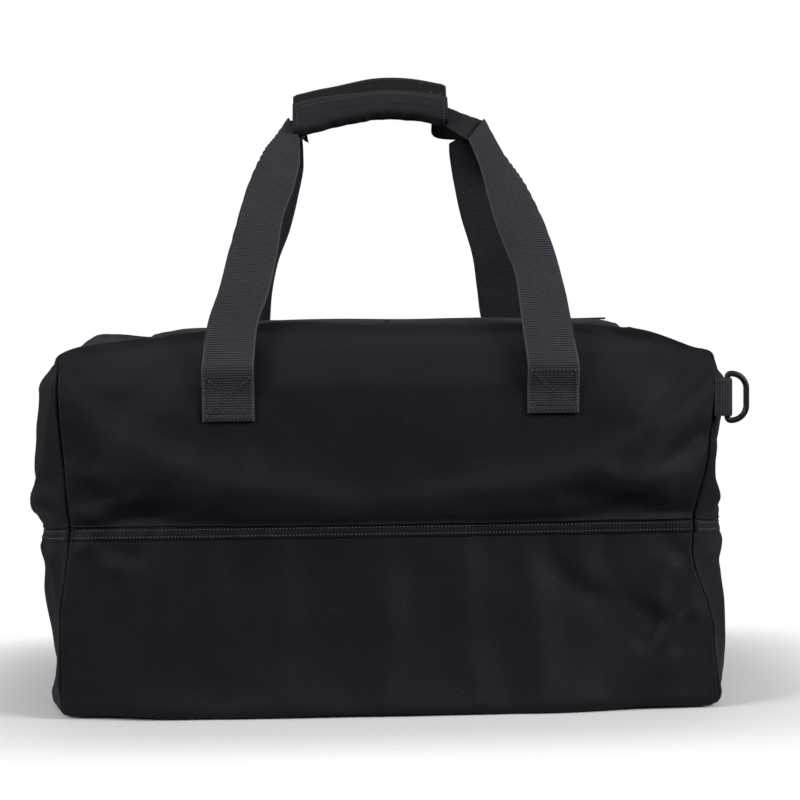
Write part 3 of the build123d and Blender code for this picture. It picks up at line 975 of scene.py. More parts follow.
@dataclass
class BagForm:
    """The padded body's outer skin, with the way its corner seams wander and its top sags.

    The tables hold a height, or a place along the bag, and then how far the skin stands out there.
    """

    waist: Level = Level(0.142, 0.232, 0.115, 0.038, 0.0025)
    roll: tuple[Level, ...] = (
        Level(0.0, 0.235, 0.109, 0.018, 0.006),
        Level(0.0029, 0.2421, 0.1161, 0.018, 0.006),
        Level(0.010, 0.245, 0.119, 0.018, 0.006),
    )
    belly: Level = Level(0.072, 0.243, 0.1195, 0.027, 0.006)
    chest: Level = Level(0.192, 0.240, 0.1195, 0.032, 0.0055)
    shoulder: tuple[Level, ...] = (
        Level(0.245, 0.243, 0.121, 0.028, 0.005),
        Level(0.2645, 0.2401, 0.1149, 0.0168, 0.0018),
        Level(0.2776, 0.2229, 0.102, 0.0078, 0.0008),
        Level(0.286, 0.186, 0.086, 0.0, 0.0),
    )
    left_fullness: Table = (
        (0.0, 0.004), (0.025, -0.0040), (0.055, -0.0085), (0.090, 0.0000), (0.115, -0.0020),
        (0.130, -0.0020), (0.142, -0.0020), (0.152, -0.0030), (0.170, 0.0108), (0.185, 0.0125),
        (0.210, 0.0110), (0.245, 0.0065), (0.280, 0.0),
    )
    right_fullness: Table = (
        (0.0, 0.0), (0.045, 0.0075), (0.072, 0.0045), (0.095, 0.002), (0.112, -0.002), (0.142, -0.0025),
        (0.158, -0.0085), (0.175, -0.0060), (0.210, -0.001), (0.245, 0.001), (0.280, 0.0),
    )
    front_fullness: Table = ((-0.240, 0.0), (-0.175, 0.0065), (-0.020, 0.0080), (0.100, 0.0050), (0.190, 0.0))
    fullness_height: float = 0.065
    front_left_seam: Table = ((0.0, 0.0, 0.0), (0.10, 0.002, 0.0), (0.142, 0.004, 0.0), (0.19, 0.0, 0.0))
    front_right_seam: Table = (
        (0.0, 0.0, 0.0), (0.057, -0.003, 0.0), (0.112, -0.012, 0.002), (0.142, -0.006, 0.0),
        (0.20, -0.003, 0.0), (0.245, 0.0, 0.0),
    )
    back_seam: Table = ((0.0, 0.0, 0.0), (0.12, -0.003, 0.0), (0.142, -0.002, 0.0), (0.20, 0.0, 0.0))
    top_slope: float = 0.01431
    top_lift: Table = (
        (-0.245, 0.001), (-0.215, -0.001), (-0.180, -0.0035), (-0.150, -0.001), (-0.085, 0.0055),
        (-0.020, 0.0040), (0.080, 0.0022), (0.150, -0.0005), (0.190, -0.005), (0.225, -0.0090),
        (0.245, -0.0040),
    )
    lift_from: float = 0.240
    left_corner_x: float = -0.190
    back_left_hump: float = 0.014
    hump_reach: Pair = (0.055, 0.06)
    hump_from_y: float = 0.02
    front_left_square: float = 0.007
    back_left_square: float = 0.012
    square_reach: float = 0.035
    square_z: float = 0.275
    square_height: float = 0.012
    end_seam_sag: float = 0.009
    end_sag_reach: float = 0.055

    def __post_init__(self) -> None:
        """Work out both tiers' curves."""
        self.curves = {
            Tier.LOWER: RisingCurve((*self.roll, self.belly, self.waist)),
            Tier.UPPER: RisingCurve((self.waist, self.chest, *self.shoulder)),
        }

    def seam(self, right: bool, back: bool, z: float) -> tuple[float, float]:
        """Read how far a corner seam wanders outward in length and in depth.

        Args:
            right: Whether it is a right-hand corner.
            back: Whether it is a back corner.
            z: Height.

        Returns:
            The outward wander along X and along Y.
        """
        if back:
            return piecewise(self.back_seam, z)
        return piecewise(self.front_right_seam if right else self.front_left_seam, z)

    def top_rise(self, x: float, y: float, z: float) -> float:
        """Read how far the soft top stands above or below its level there.

        Args:
            x: Place along the bag.
            y: Place across it.
            z: Height on the level top.

        Returns:
            The rise in metres.
        """
        share = smooth((z - self.lift_from) / (self.shoulder[-1].z - self.lift_from))
        reach_x, reach_y = self.hump_reach
        corner = smooth((self.left_corner_x - x) / reach_x) * smooth((y - self.hump_from_y) / reach_y)
        return (self.top_slope * x + piecewise(self.top_lift, x)[0] + self.back_left_hump * corner) * share

    def wall(self, side: Side, u: float, section: Section) -> Vector:
        """Find a point on a wall.

        Args:
            side: Which wall.
            u: Place between its corner seams, from -1 at the left or front to 1.
            section: The level, as read from a tier's curve.

        Returns:
            The point.
        """
        z, length, depth, end_bulge, face_bulge = section
        share = (u + 1) / 2
        if side.is_face:
            back = side is Side.BACK
            left, right = self.seam(False, back, z), self.seam(True, back, z)
            x = mix(-(length + left[0]), length + right[0], share)
            low = 1 - smooth(z / self.fullness_height)
            full = face_bulge * (1 - u**4) + (0.0 if back else piecewise(self.front_fullness, x)[0] * low)
            y = side.sign * (depth + mix(left[1], right[1], share) + full)
        else:
            right_end = side is Side.RIGHT
            front, rear = self.seam(right_end, False, z), self.seam(right_end, True, z)
            y = mix(-(depth + front[1]), depth + rear[1], share)
            fuller = piecewise(self.right_fullness if right_end else self.left_fullness, z)[0] * (1 - u * u)
            x = side.sign * (length + mix(front[0], rear[0], share) + (end_bulge + fuller) * (1 - u * u))
            z -= self.end_seam_sag * (1 - u * u) * hump(z - self.waist.z, self.end_sag_reach)
        square = mix(self.front_left_square, self.back_left_square, smooth(y / self.hump_reach[1] + 0.5))
        square *= smooth((self.left_corner_x - x) / self.square_reach)
        stretch = square * hump(section[0] - self.square_z, self.square_height)
        return Vector((x - stretch, y, z + self.top_rise(x, y, z)))


@dataclass(frozen=True)
class Fold:
    """A crease or a soft ridge across a panel, between two places on it."""

    start: Pair
    end: Pair
    height: float
    width: float
    lee: float = 1.0
    bend: float = 0.0

    def rise(self, place: float, z: float) -> float:
        """Read the fold's height.

        Args:
            place: Distance along the panel from its middle.
            z: Height on the panel.

        Returns:
            How far the cloth stands out there.
        """
        run, climb = self.end[0] - self.start[0], self.end[1] - self.start[1]
        length = math.hypot(run, climb)
        along = ((place - self.start[0]) * run + (z - self.start[1]) * climb) / length**2
        off = ((place - self.start[0]) * climb - (z - self.start[1]) * run) / length
        inside = min(1.0, max(0.0, along))
        off -= self.bend * 4 * inside * (1 - inside)
        width = self.width * (self.lee if off > 0 else 1.0)
        if abs(off) > 3 * width or along < -0.2 or along > 1.2:
            return 0.0
        ends = smooth((along + 0.2) / 0.4) * smooth((1.2 - along) / 0.4)
        return self.height * hump(off, width) * ends


class SettledCloth:
    """Cloth that has been simulated between its sewn edges, kept as a grid of shifts."""

    def __init__(self, shifts: list[list[Vector]]) -> None:
        """Keep how far each point moved, row by row."""
        self.shifts = shifts

    @staticmethod
    def spread(f: float) -> tuple[float, float, float, float]:
        """Return the four weights of a smooth patch."""
        rising = (1 + 3 * f + 3 * f**2 - 3 * f**3) / 6
        return ((1 - f) ** 3 / 6, (3 * f**3 - 6 * f**2 + 4) / 6, rising, f**3 / 6)

    def shift(self, across: float, up: float) -> Vector:
        """Read the shift smoothly.

        Args:
            across: Share along a row.
            up: Share from the first row to the last.

        Returns:
            The shift there.
        """
        rows, columns = len(self.shifts), len(self.shifts[0])
        x = min(max(across, 0.0), 1.0) * (columns - 1)
        y = min(max(up, 0.0), 1.0) * (rows - 1)
        i, j = min(int(x), columns - 2), min(int(y), rows - 2)
        total = Vector((0.0, 0.0, 0.0))
        wx, wy = self.spread(x - i), self.spread(y - j)
        for b in range(4):
            row = self.shifts[min(max(j - 1 + b, 0), rows - 1)]
            for a in range(4):
                total += row[min(max(i - 1 + a, 0), columns - 1)] * (wx[a] * wy[b])
        return total


@dataclass(frozen=True)
class Settling:
    """How the padded cloth is simulated: its extra cloth, its filling and its limits."""

    pitch: float = 0.0075
    growth: float = 0.022
    puff: float = 0.6
    stretch: float = 20.0
    shear: float = 10.0
    bending: float = 6.0
    cap: float = 0.006
    frames: int = 20
    mass: float = 0.25

    def run(self, name: str, grid: list[list[Vector]]) -> SettledCloth:
        """Simulate a sheet whose edges are sewn down.

        Args:
            name: A name for the working mesh.
            grid: Rows of its points.

        Returns:
            How far each point settles, capped.
        """
        rows, columns = len(grid), len(grid[0])
        points = [p for row in grid for p in row]
        sheet = mesh_object(name, points, grid_faces(rows, columns))
        pins = sheet.vertex_groups.new(name="sewn")
        sides, ends = (0, columns - 1), (0, rows - 1)
        edge = [i for i in range(rows * columns) if i % columns in sides or i // columns in ends]
        pins.add(edge, 1.0, "REPLACE")
        cloth = sheet.modifiers.new("cloth", "CLOTH")
        choices = {
            "quality": 6,
            "mass": self.mass,
            "tension_stiffness": self.stretch,
            "compression_stiffness": self.stretch,
            "shear_stiffness": self.shear,
            "bending_stiffness": self.bending,
            "vertex_group_mass": "sewn",
            "shrink_min": -self.growth,
            "use_pressure": True,
            "uniform_pressure_force": self.puff,
        }
        for key, value in choices.items():
            setattr(cloth.settings, key, value)
        cloth.point_cache.frame_start = 1
        cloth.point_cache.frame_end = self.frames
        scene = bpy.context.scene
        for number in range(1, self.frames + 1):
            scene.frame_set(number)
        settled = sheet.evaluated_get(bpy.context.evaluated_depsgraph_get())
        moves = [vertex.co - point for vertex, point in zip(settled.data.vertices, points)]
        capped = [move * min(1.0, self.cap / max(move.length, 1e-9)) for move in moves]
        shifts = [capped[r * columns : (r + 1) * columns] for r in range(rows)]
        bpy.data.objects.remove(sheet)
        scene.frame_set(1)
        return SettledCloth(shifts)


def spaced(length: float, pitch: float, rim: Sequence[float]) -> list[float]:
    """Space out places along a length, closer together beside both ends.

    Args:
        length: The whole length.
        pitch: The spacing in the middle.
        rim: Distances from each end of the closer places.

    Returns:
        The places from 0 to the length.
    """
    inner = length - 2 * rim[-1]
    count = max(2, round(inner / pitch))
    middle = [rim[-1] + inner * k / count for k in range(1, count)]
    return [*rim, *middle, *[length - r for r in reversed(rim)]]


@dataclass
class WallPanel:
    """One padded wall panel, from seam to seam."""

    form: BagForm
    side: Side
    tier: Tier
    folds: tuple[Fold, ...] = ()
    seed: float = 0.0
    pitch: float = 0.003
    rim: tuple[float, ...] = (0.0, 0.0007, 0.0015, 0.0026, 0.0042, 0.0062, 0.0086)
    wall: float = 0.0034
    corner_round: float = 0.005
    corner_sink: float = 0.0012
    seam_groove: float = 0.0007
    groove_width: float = 0.0009
    seam_ridge: float = 0.0006
    ridge_from: float = 0.0026
    ridge_width: float = 0.0014
    waist_round: float = 0.0045
    waist_sink: float = -0.0017
    pucker: float = 0.0006
    pucker_from: float = 0.004
    pucker_reach: float = 0.020
    pucker_sizes: Pair = (0.011, 0.013)
    swell: float = 0.0026
    swell_sizes: Pair = (0.085, 0.034)
    small_swell: float = 0.36
    swell_from: float = 0.03
    fold_from: float = 0.006
    floor_gap: float = 0.0002
    sheet_half: Pair = (0.118, 0.24)
    settling: Settling = Settling()
    settled: SettledCloth | None = None

    @property
    def node(self) -> str:
        """The CAD node that the panel stands for."""
        kind = "panel" if self.side.is_face else "end"
        return f"{self.side.value}_{self.tier.value}_{kind}"

    @property
    def curve(self) -> RisingCurve:
        """The curve that the panel rises along."""
        return self.form.curves[self.tier]

    @property
    def reversed_in_view(self) -> bool:
        """Whether the panel's own left is the right of someone who looks at it from outside."""
        return self.side in (Side.BACK, Side.LEFT)

    def bare(self, u: float, t: float) -> Vector:
        """Find a point of the plain form."""
        return self.form.wall(self.side, u, self.curve.at(t))

    def frame(self, u: float, t: float) -> tuple[Vector, Vector, Vector]:
        """Find the directions on the plain form.

        Args:
            u: Place between the corner seams.
            t: Share of the way up.

        Returns:
            The outward normal, the direction along the panel and the direction up it.
        """
        step = 0.004  # of the panel's width or height
        along = (self.bare(min(u + step, 1), t) - self.bare(max(u - step, -1), t)).normalized()
        up = (self.bare(u, min(t + step, 1)) - self.bare(u, max(t - step, 0))).normalized()
        normal = up.cross(along) if self.reversed_in_view else along.cross(up)
        return normal.normalized(), along, up

    def tuck(self, seam: float) -> float:
        """Return how far the cloth is drawn in at a distance from the waist seam."""
        return self.waist_sink * max(0.0, 1 - seam / self.waist_round) ** 2

    def relief(self, place: float, z: float, point: Vector, edge: float, seam: float) -> float:
        """Read how far the cloth stands out of the plain form.

        Args:
            place: Distance along the panel from its middle.
            z: Height.
            point: The point on the plain form.
            edge: Distance from the nearer corner seam.
            seam: Distance from the waist seam.

        Returns:
            The height in metres.
        """
        nearest = min(edge, seam)
        tall = Vector((point.x, point.y, point.z * 0.45))
        swell = self.swell * smooth(nearest / self.swell_from)
        broad, small = self.swell_sizes
        out = soft_noise(tall, broad, self.seed) * swell
        out += soft_noise(point, small, self.seed + 5) * swell * self.small_swell
        spots = (Vector((place, 0.0, z * 0.25)), Vector((place * 0.25, 0.0, z)))
        for spot, size, shift, away in zip(spots, self.pucker_sizes, (9, 13), (seam, edge)):
            gathered = hump(away, self.pucker_reach) * smooth(away / self.pucker_from)
            out += soft_noise(spot, size, self.seed + shift) * self.pucker * gathered
        return out + sum(fold.rise(place, z) for fold in self.folds) * smooth(nearest / self.fold_from)

    def surface(self, u: float, t: float, settled: SettledCloth | None) -> Vector:
        """Find a point of the finished cloth.

        Args:
            u: Place between the corner seams.
            t: Share of the way up.
            settled: The simulated shifts, where there are any.

        Returns:
            The point.
        """
        section = self.curve.at(t)
        point = self.form.wall(self.side, u, section)
        normal, along, _ = self.frame(u, t)
        half = section[1] if self.side.is_face else section[2]
        edge = (1 - abs(u)) * half
        seam = (t if self.tier is Tier.UPPER else 1 - t) * self.curve.length
        lift = self.relief(u * half, section[0], point, edge, seam)
        sink = self.corner_sink * max(0.0, 1 - edge / self.corner_round) ** 2
        sink += self.seam_groove * hump(edge, self.groove_width)
        sink -= self.seam_ridge * hump(edge - self.ridge_from, self.ridge_width) * self.side.is_face
        point = point - normal * sink - along * math.copysign(sink, u) + normal * lift
        point -= normal * self.tuck(seam)
        if settled is not None:
            point += settled.shift((u + 1) / 2, t)
        point.z = max(point.z, self.floor_gap)
        return point

    def skin_at(self, x: float, z: float) -> Vector:
        """Find the finished cloth at a place along the bag and a height.

        Args:
            x: Place along the bag.
            z: Height.

        Returns:
            The point.
        """
        low, high = 0.0, 1.0
        for _ in range(14):
            middle = (low + high) / 2
            if self.curve.at(middle)[0] < z:
                low = middle
            else:
                high = middle
        left, right = (self.bare(end, low).x for end in (-1.0, 1.0))
        return self.surface(2 * (x - left) / (right - left) - 1, low, self.settled)

    def settle(self) -> SettledCloth | None:
        columns = round(2 * self.sheet_half[self.side.is_face] / self.settling.pitch)
        rows = round(self.curve.length / self.settling.pitch)
        shares = [2 * c / columns - 1 for c in range(columns + 1)]
        grid = [[self.bare(u, r / rows) for u in shares] for r in range(rows + 1)]
        return self.settling.run(f"settling_padded_{self.node}", grid)

    def build(self, finish: bpy.types.Material) -> None:
        """Make the panel.

        Args:
            finish: Its cloth.
        """
        self.settled = settled = self.settle()
        half = self.form.belly.half(self.side)
        across = [2 * s / (2 * half) - 1 for s in spaced(2 * half, self.pitch, self.rim)]
        if self.reversed_in_view:
            across.reverse()
        climbs = spaced(self.curve.length, self.pitch, self.rim)
        grid = [[self.surface(u, climb / self.curve.length, settled) for u in across] for climb in climbs]

        def inward(p: Vector) -> Vector:
            """Point into the bag, level or down where the wall has turned over."""
            core = Vector((p.x * 0.35, p.y * 0.2, mix(p.z, 0.16, 0.45)))
            return (core - p).normalized()

        piece = thicken(
            f"padded_{self.node}", grid, self.wall, inward, lambda r, c: (across[c] * half, climbs[r])
        )
        dress(piece, finish, "bag_body")
        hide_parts(self.node)


@dataclass
class WaistBand:
    """The stitched band that laps the lower panels just under the waist seam."""

    panel: WallPanel
    height: float = 0.0104
    wall: float = 0.0009
    stand: float = 0.0002
    rows_below: tuple[float, float] = (0.0030, 0.0080)
    stitch_pitch: float = 0.00255
    thread: float = 0.00085

    stitch_sink: float = 0.0003
    sink_width: float = 0.0011
    path_step: float = 0.004
    pitch: float = 0.0016
    rim: tuple[float, ...] = (0.0, 0.0008, 0.0018)

    @property
    def side(self) -> Side:
        """The side that the band runs along."""
        return self.panel.side

    @property
    def half(self) -> float:
        """Half the band's length."""
        return self.panel.form.waist.half(self.side)

    def skin(self, u: float, below: float, lift: float) -> Vector:
        """Find a point above the lower panel.

        Args:
            u: Place between the corner seams.
            below: Distance under the waist seam.
            lift: Distance out from the panel.

        Returns:
            The point.
        """
        t = 1 - below / self.panel.curve.length
        normal, _, _ = self.panel.frame(u, t)
        edge = (1 - abs(u)) * self.half
        point = self.panel.surface(u, t, self.panel.settled)
        stitched = sum(hump(below - row, self.sink_width) for row in self.rows_below)
        wave = 0.6 + 0.4 * math.cos(math.tau * u * self.half / self.stitch_pitch)
        soft = soft_noise(point, 0.010, 3.0) * 0.0003
        lift = lift - self.stitch_sink * stitched * wave + soft
        return point + normal * (lift + 0.75 * self.panel.tuck(below)) * smooth(edge / 0.002 + 0.6)

    def build(self, finish: bpy.types.Material) -> None:
        """Make the band.

        Args:
            finish: Its cloth.
        """
        half = self.half
        across = [2 * s / (2 * half) - 1 for s in spaced(2 * half, self.pitch, self.rim)]
        if self.panel.reversed_in_view:
            across.reverse()
        drops = [self.height * k / 12 for k in range(12, -1, -1)]
        lifts = [self.stand + self.wall * share for share in (0.2, 0.75, *[1.0] * 11)]
        grid = [[self.skin(u, drop, lift) for u in across] for drop, lift in zip(drops, lifts)]

        def inward(p: Vector) -> Vector:
            """Point level into the bag."""
            core = Vector((p.x * 0.9, 0.0, p.z)) if self.side.is_face else Vector((0.0, p.y * 0.9, p.z))
            return (core - p).normalized()

        name = f"waist_band_{self.side.value}"
        piece = thicken(name, grid, self.wall, inward, lambda r, c: (across[c] * half, drops[r]))
        dress(piece, finish, "bag_body")
        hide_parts(f"{self.side.value}_waist_band")

    def stitch(self, finish: bpy.types.Material) -> None:
        """Sew both rows of stitches.

        Args:
            finish: The thread.
        """
        count = round(2 * self.half / self.path_step)
        limit = 1 - self.path_step / self.half
        shares = [limit * (2 * k / count - 1) for k in range(count + 1)]
        lift = self.stand + self.wall + 0.0001
        out = Vector((0.0, self.side.sign, 0.0)) if self.side.is_face else Vector((self.side.sign, 0.0, 0.0))
        girth = self.thread if self.side.is_face else 0.75 * self.thread
        rows = []
        for number, below in enumerate(self.rows_below):
            path = [self.skin(u, below, lift) for u in shares]
            rows.append(stitch_beads(f"row_{number}", path, lambda p: out, self.stitch_pitch, girth))
        piece = join_parts(f"waist_stitches_{self.side.value}", rows)
        dress(piece, finish, "bag_body")


@dataclass
class BagBody:
    """All that is sewn to the bag's own body: walls, waist bands, base and lining."""

    form: BagForm
    panels: list[WallPanel]
    lining_in: float = 0.0140
    lining_wall: float = 0.0008
    lining_low: float = 0.0062
    lining_top: float = 0.62
    lining_slack: float = 0.0022
    base_inset: float = 0.0042
    base_wall: float = 0.0028

    def build(self, finishes: Finishes) -> None:
        """Make and dress every piece.

        Args:
            finishes: The finishes.
        """
        for panel in self.panels:
            panel.build(finishes.nylon)
            if panel.tier is Tier.LOWER:
                band = WaistBand(panel)
                band.build(finishes.band)
                band.stitch(finishes.thread)
        self.base(finishes.nylon)
        self.lining(finishes.lining)

    def base(self, finish: bpy.types.Material) -> None:
        """Make the bottom panel that the bag stands on.

        Args:
            finish: Its cloth.
        """
        level = self.form.roll[0]
        section = level.row()
        rows, columns = 40, 80
        grid = []
        for r in range(rows + 1):
            v = 2 * r / rows - 1
            line = []
            for c in range(columns + 1):
                u = 2 * c / columns - 1
                ends = [self.form.wall(side, -v, section).x for side in (Side.LEFT, Side.RIGHT)]
                faces = [self.form.wall(side, u, section).y for side in (Side.BACK, Side.FRONT)]
                x = mix(ends[0] + self.base_inset, ends[1] - self.base_inset, (u + 1) / 2)
                y = mix(faces[0] - self.base_inset, faces[1] + self.base_inset, (v + 1) / 2)
                rim = min(1 - abs(u), (1 - abs(v)) * 0.5)
                z = 0.0004 + 0.0006 * hump(rim, 0.02) + 0.0003 * abs(soft_noise(Vector((x, y, 0)), 0.05))
                line.append(Vector((x, y, z)))
            grid.append(line)
        piece = thicken(
            "padded_bottom",
            grid,
            self.base_wall,
            lambda p: UP,
            lambda r, c: (2 * c / columns * level.half_length, 2 * r / rows * level.half_depth),
        )
        dress(piece, finish, "bag_body")
        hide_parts("bottom_panel")

    def lining(self, finish: bpy.types.Material) -> None:
        """Make the loose lining tub that hangs inside.

        Args:
            finish: Its cloth.
        """
        sides = ((Side.FRONT, 1, 48), (Side.RIGHT, 1, 26), (Side.BACK, -1, 48), (Side.LEFT, -1, 26))
        stations = [(Tier.LOWER, t / 24) for t in range(2, 25)]
        stations += [(Tier.UPPER, self.lining_top * t / 20) for t in range(1, 21)]

        def ring(tier: Tier, t: float, inset: float) -> list[Vector]:
            """Return one ring of the tub."""
            section = self.form.curves[tier].at(t)
            drawn = (max(section[0], self.lining_low), section[1] - inset, section[2] - inset, *section[3:])
            points = []
            for side, way, count in sides:
                for k in range(count):
                    u = way * (2 * k / count - 1)
                    point = self.form.wall(side, u, drawn)
                    crumple = soft_noise(Vector((point.x, point.y, point.z * 0.5)), 0.03, 31.0)
                    loose = smooth(1.4 - abs(u)) * self.lining_slack
                    inwards = (Vector((0, 0, point.z)) - point).normalized()
                    points.append(point + inwards * loose * (0.6 + crumple))
            return points

        rings = [ring(tier, t, self.lining_in) for tier, t in stations]
        rings += [ring(tier, t, self.lining_in + self.lining_wall) for tier, t in reversed(stations)]
        columns = len(rings[0])
        points = [p for loop in rings for p in loop]
        faces = grid_faces(len(rings), columns, closed=True)
        low, high = len(points), len(points) + 1
        points += [UP * self.lining_low, UP * (self.lining_low + self.lining_wall)]
        last = (len(rings) - 1) * columns
        for c in range(columns):
            d = (c + 1) % columns
            faces.append((d, c, low))
            faces.append((last + c, last + d, high))
        uvs = [(math.atan2(p.y, p.x) * 0.15, p.z) for p in points]
        piece = mesh_object("lining_tub", points, faces, uvs)
        dress(piece, finish, "bag_body")
        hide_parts("lining")


# ---------------------------------------------------------------- the top and its zip


@dataclass
class TopDeck:
    """The top of the bag in four pieces about the zip."""

    form: BagForm
    half_length: float = 0.1820
    hinge_y: float = 0.0823
    slit: float = 0.0072
    top_z: float = 0.2861
    wall: float = 0.0030
    dome: float = 0.0026
    seam_dip: float = 0.0016
    hem: float = 0.0055
    pitch: float = 0.0032
    rim: tuple[float, ...] = (0.0, 0.0006, 0.0016, 0.003, 0.0046, 0.0055, 0.0064)
    edge_roll: float = 0.0012
    roll_width: float = 0.002
    stitch_pitch: float = 0.003
    thread: float = 0.0006
    still_x: float = 0.178
    tail_end: float = 0.1840
    tail_half: float = 0.0105
    tail_drop: float = 0.0026
    moving_x: float = 0.050
    tape_edge: float = 0.0195
    tape_inner: float = 0.0050
    tape_z: float = 0.2830
    tape_wall: float = 0.0007
    tail_wall: float = 0.0012
    chain_end: float = 0.155
    chain_lift: float = 0.0020
    chain_crown: float = 0.144
    tooth_pitch: float = 0.0032
    tooth_outline: Table = (
        (-0.0004, 0.00085), (0.0004, 0.0011), (0.0012, 0.0006), (0.0034, 0.0007), (0.0052, 0.0010)
    )
    tooth_tiers: Table = ((-0.0013, 0.75), (-0.0009, 1.0), (0.0009, 1.0), (0.0013, 0.75))
    cord_y: float = 0.0046
    cord_radius: float = 0.0009

    def height(self, x: float, y: float) -> float:
        """Read the deck's height.

        Args:
            x: Place along the bag.
            y: Place across it.

        Returns:
            The height of its upper face.
        """
        out = (abs(y) - self.slit) / (self.hinge_y - self.slit)
        end = (self.half_length - abs(x)) / 0.02
        crown = self.dome * math.sin(math.pi * min(1.0, max(0.0, out))) * smooth(end)
        to_seams = (self.hinge_y - abs(y), self.half_length - abs(x))
        seam = sum(self.seam_dip * hump(away, 0.005) for away in to_seams)
        soft = soft_noise(Vector((x, y, 0.0)), 0.06, 41.0) * 0.0013 * smooth(out * 3) * smooth((1 - out) * 3)
        stitch = 0.0005 * hump(abs(y) - self.slit - self.hem, 0.0012)
        middle = self.top_z + self.chain_rise(x)
        edge = self.top_z + self.form.top_rise(x, y, self.top_z)
        return mix(middle, edge, smooth(out * 1.15)) + crown + soft - seam - stitch

    def chain_rise(self, x: float) -> float:
        """Return how far the zip stands above the middle of the sloping top."""
        return self.form.top_slope * x + self.chain_lift * max(0.0, 1 - (x / self.chain_crown) ** 2)

    def quarter(self, back: bool, right: bool) -> list[bpy.types.Object]:
        """Lay out one quarter's cloth, hem stitches, tape and teeth.

        Args:
            back: Whether it is behind the zip.
            right: Whether it is at the right.

        Returns:
            The cloth, its stitches, the tape and the teeth.
        """
        way_y, way_x = (1 if back else -1), (1 if right else -1)
        rows = spaced(self.hinge_y - self.slit, self.pitch, self.rim)
        columns = [self.half_length * k / 68 for k in range(69)]
        grid = []
        for r in rows:
            y = way_y * (self.slit + r)
            roll = self.edge_roll * max(0.0, 1 - r / self.roll_width) ** 2
            grid.append([Vector((way_x * x, y, self.height(way_x * x, y) - roll)) for x in columns])
        if back == right:
            grid = [list(reversed(row)) for row in grid]
        name = f"{'back' if back else 'front'}_{'right' if right else 'left'}"
        cloth = thicken(f"top_{name}", grid, self.wall, lambda p: DOWN, lambda r, c: (columns[c], rows[r]))
        y = way_y * (self.slit + self.hem)
        path = [Vector((way_x * x, y, self.height(way_x * x, y) + 0.0001)) for x in columns[:-2]]
        sewing = stitch_beads(f"top_stitches_{name}", path, lambda p: UP, self.stitch_pitch, self.thread)
        return [cloth, sewing, self.tape(name, way_x, way_y), self.teeth(name, way_x, way_y)]

    def tape(self, name: str, way_x: int, way_y: int) -> bpy.types.Object:
        """Make one quarter's zip tape.

        Args:
            name: The quarter's name.
            way_x: 1 at the right, -1 at the left.
            way_y: 1 at the back, -1 at the front.

        Returns:
            The tape.
        """
        xs = [self.chain_end * k / 60 for k in range(61)]
        ys = [mix(self.tape_inner, self.tape_edge, k / 6) for k in range(7)]
        spine = [(way_x * x, self.tape_z - 0.0002 + self.chain_rise(way_x * x)) for x in xs]
        grid = [[Vector((x, way_y * y, z)) for x, z in spine] for y in ys]
        if way_x == way_y:
            grid = [list(reversed(row)) for row in grid]
        return thicken(f"zip_tape_{name}", grid, self.tape_wall, lambda p: DOWN, lambda r, c: (xs[c], ys[r]))

    def teeth(self, name: str, way_x: int, way_y: int) -> bpy.types.Object:
        """Make one quarter's row of moulded teeth and the cord that they grip.

        Args:
            name: The quarter's name.
            way_x: 1 at the right, -1 at the left.
            way_y: 1 at the back, -1 at the front.

        Returns:
            The row.
        """
        points: list[Vector] = []
        faces: list[Face] = []
        shift = self.tooth_pitch * (0.25 if way_y > 0 else -0.25) * way_x
        loop = [*self.tooth_outline, *[(y, -half) for y, half in reversed(self.tooth_outline)]]
        for number in range(int(self.chain_end / self.tooth_pitch)):
            middle = (number + 0.5) * self.tooth_pitch + shift
            faces += tube_faces(len(self.tooth_tiers), len(loop), first=len(points), turned=way_x * way_y < 0)
            for height, girth in self.tooth_tiers:
                for y, half in loop:
                    place = mix(0.0024, y, 0.5 + girth / 2)
                    at = way_x * (middle + half * girth)
                    points.append(Vector((at, way_y * place, self.tape_z + height + self.chain_rise(at))))
        teeth = mesh_object(f"teeth_{name}", points, faces)
        steps, around = 61, 8
        points = []
        for k in range(steps):
            x = way_x * self.chain_end * k / (steps - 1)
            for turn in range(around):
                angle = math.tau * turn / around
                y = self.cord_y + self.cord_radius * math.cos(angle)
                z = self.tape_z + self.cord_radius * math.sin(angle) + self.chain_rise(x)
                points.append(Vector((x, way_y * y, z)))
        cord = mesh_object(f"cord_{name}", points, grid_faces(steps, around, closed=True))
        return join_parts(f"zip_teeth_{name}", [teeth, cord])

    def build(self, finishes: Finishes) -> None:
        """Make and dress the four quarters and the tabs at the zip's ends.

        Args:
            finishes: The finishes.
        """
        looks = (
            (finishes.nylon, "body_nylon"),
            (finishes.thread, "body_nylon"),
            (finishes.tape, "zip_tape"),
            (finishes.plastic, "zip_teeth"),
        )
        for back in (False, True):
            mouth = "back" if back else "front"
            for right in (False, True):
                end = "right" if right else "left"
                pieces = self.quarter(back, right)
                for piece, (finish, slot) in zip(pieces, looks):
                    dress(piece, finish, "")
                    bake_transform(piece)
                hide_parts(f"{mouth}_mouth_flap", f"{end}_top_end")
                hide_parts(f"{mouth}_zip_tape", f"{end}_zip_tapes")
                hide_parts(f"{mouth}_zip_teeth", f"{end}_zip_teeth")
        for end in ("left", "right"):
            self.end_tab(end, finishes)

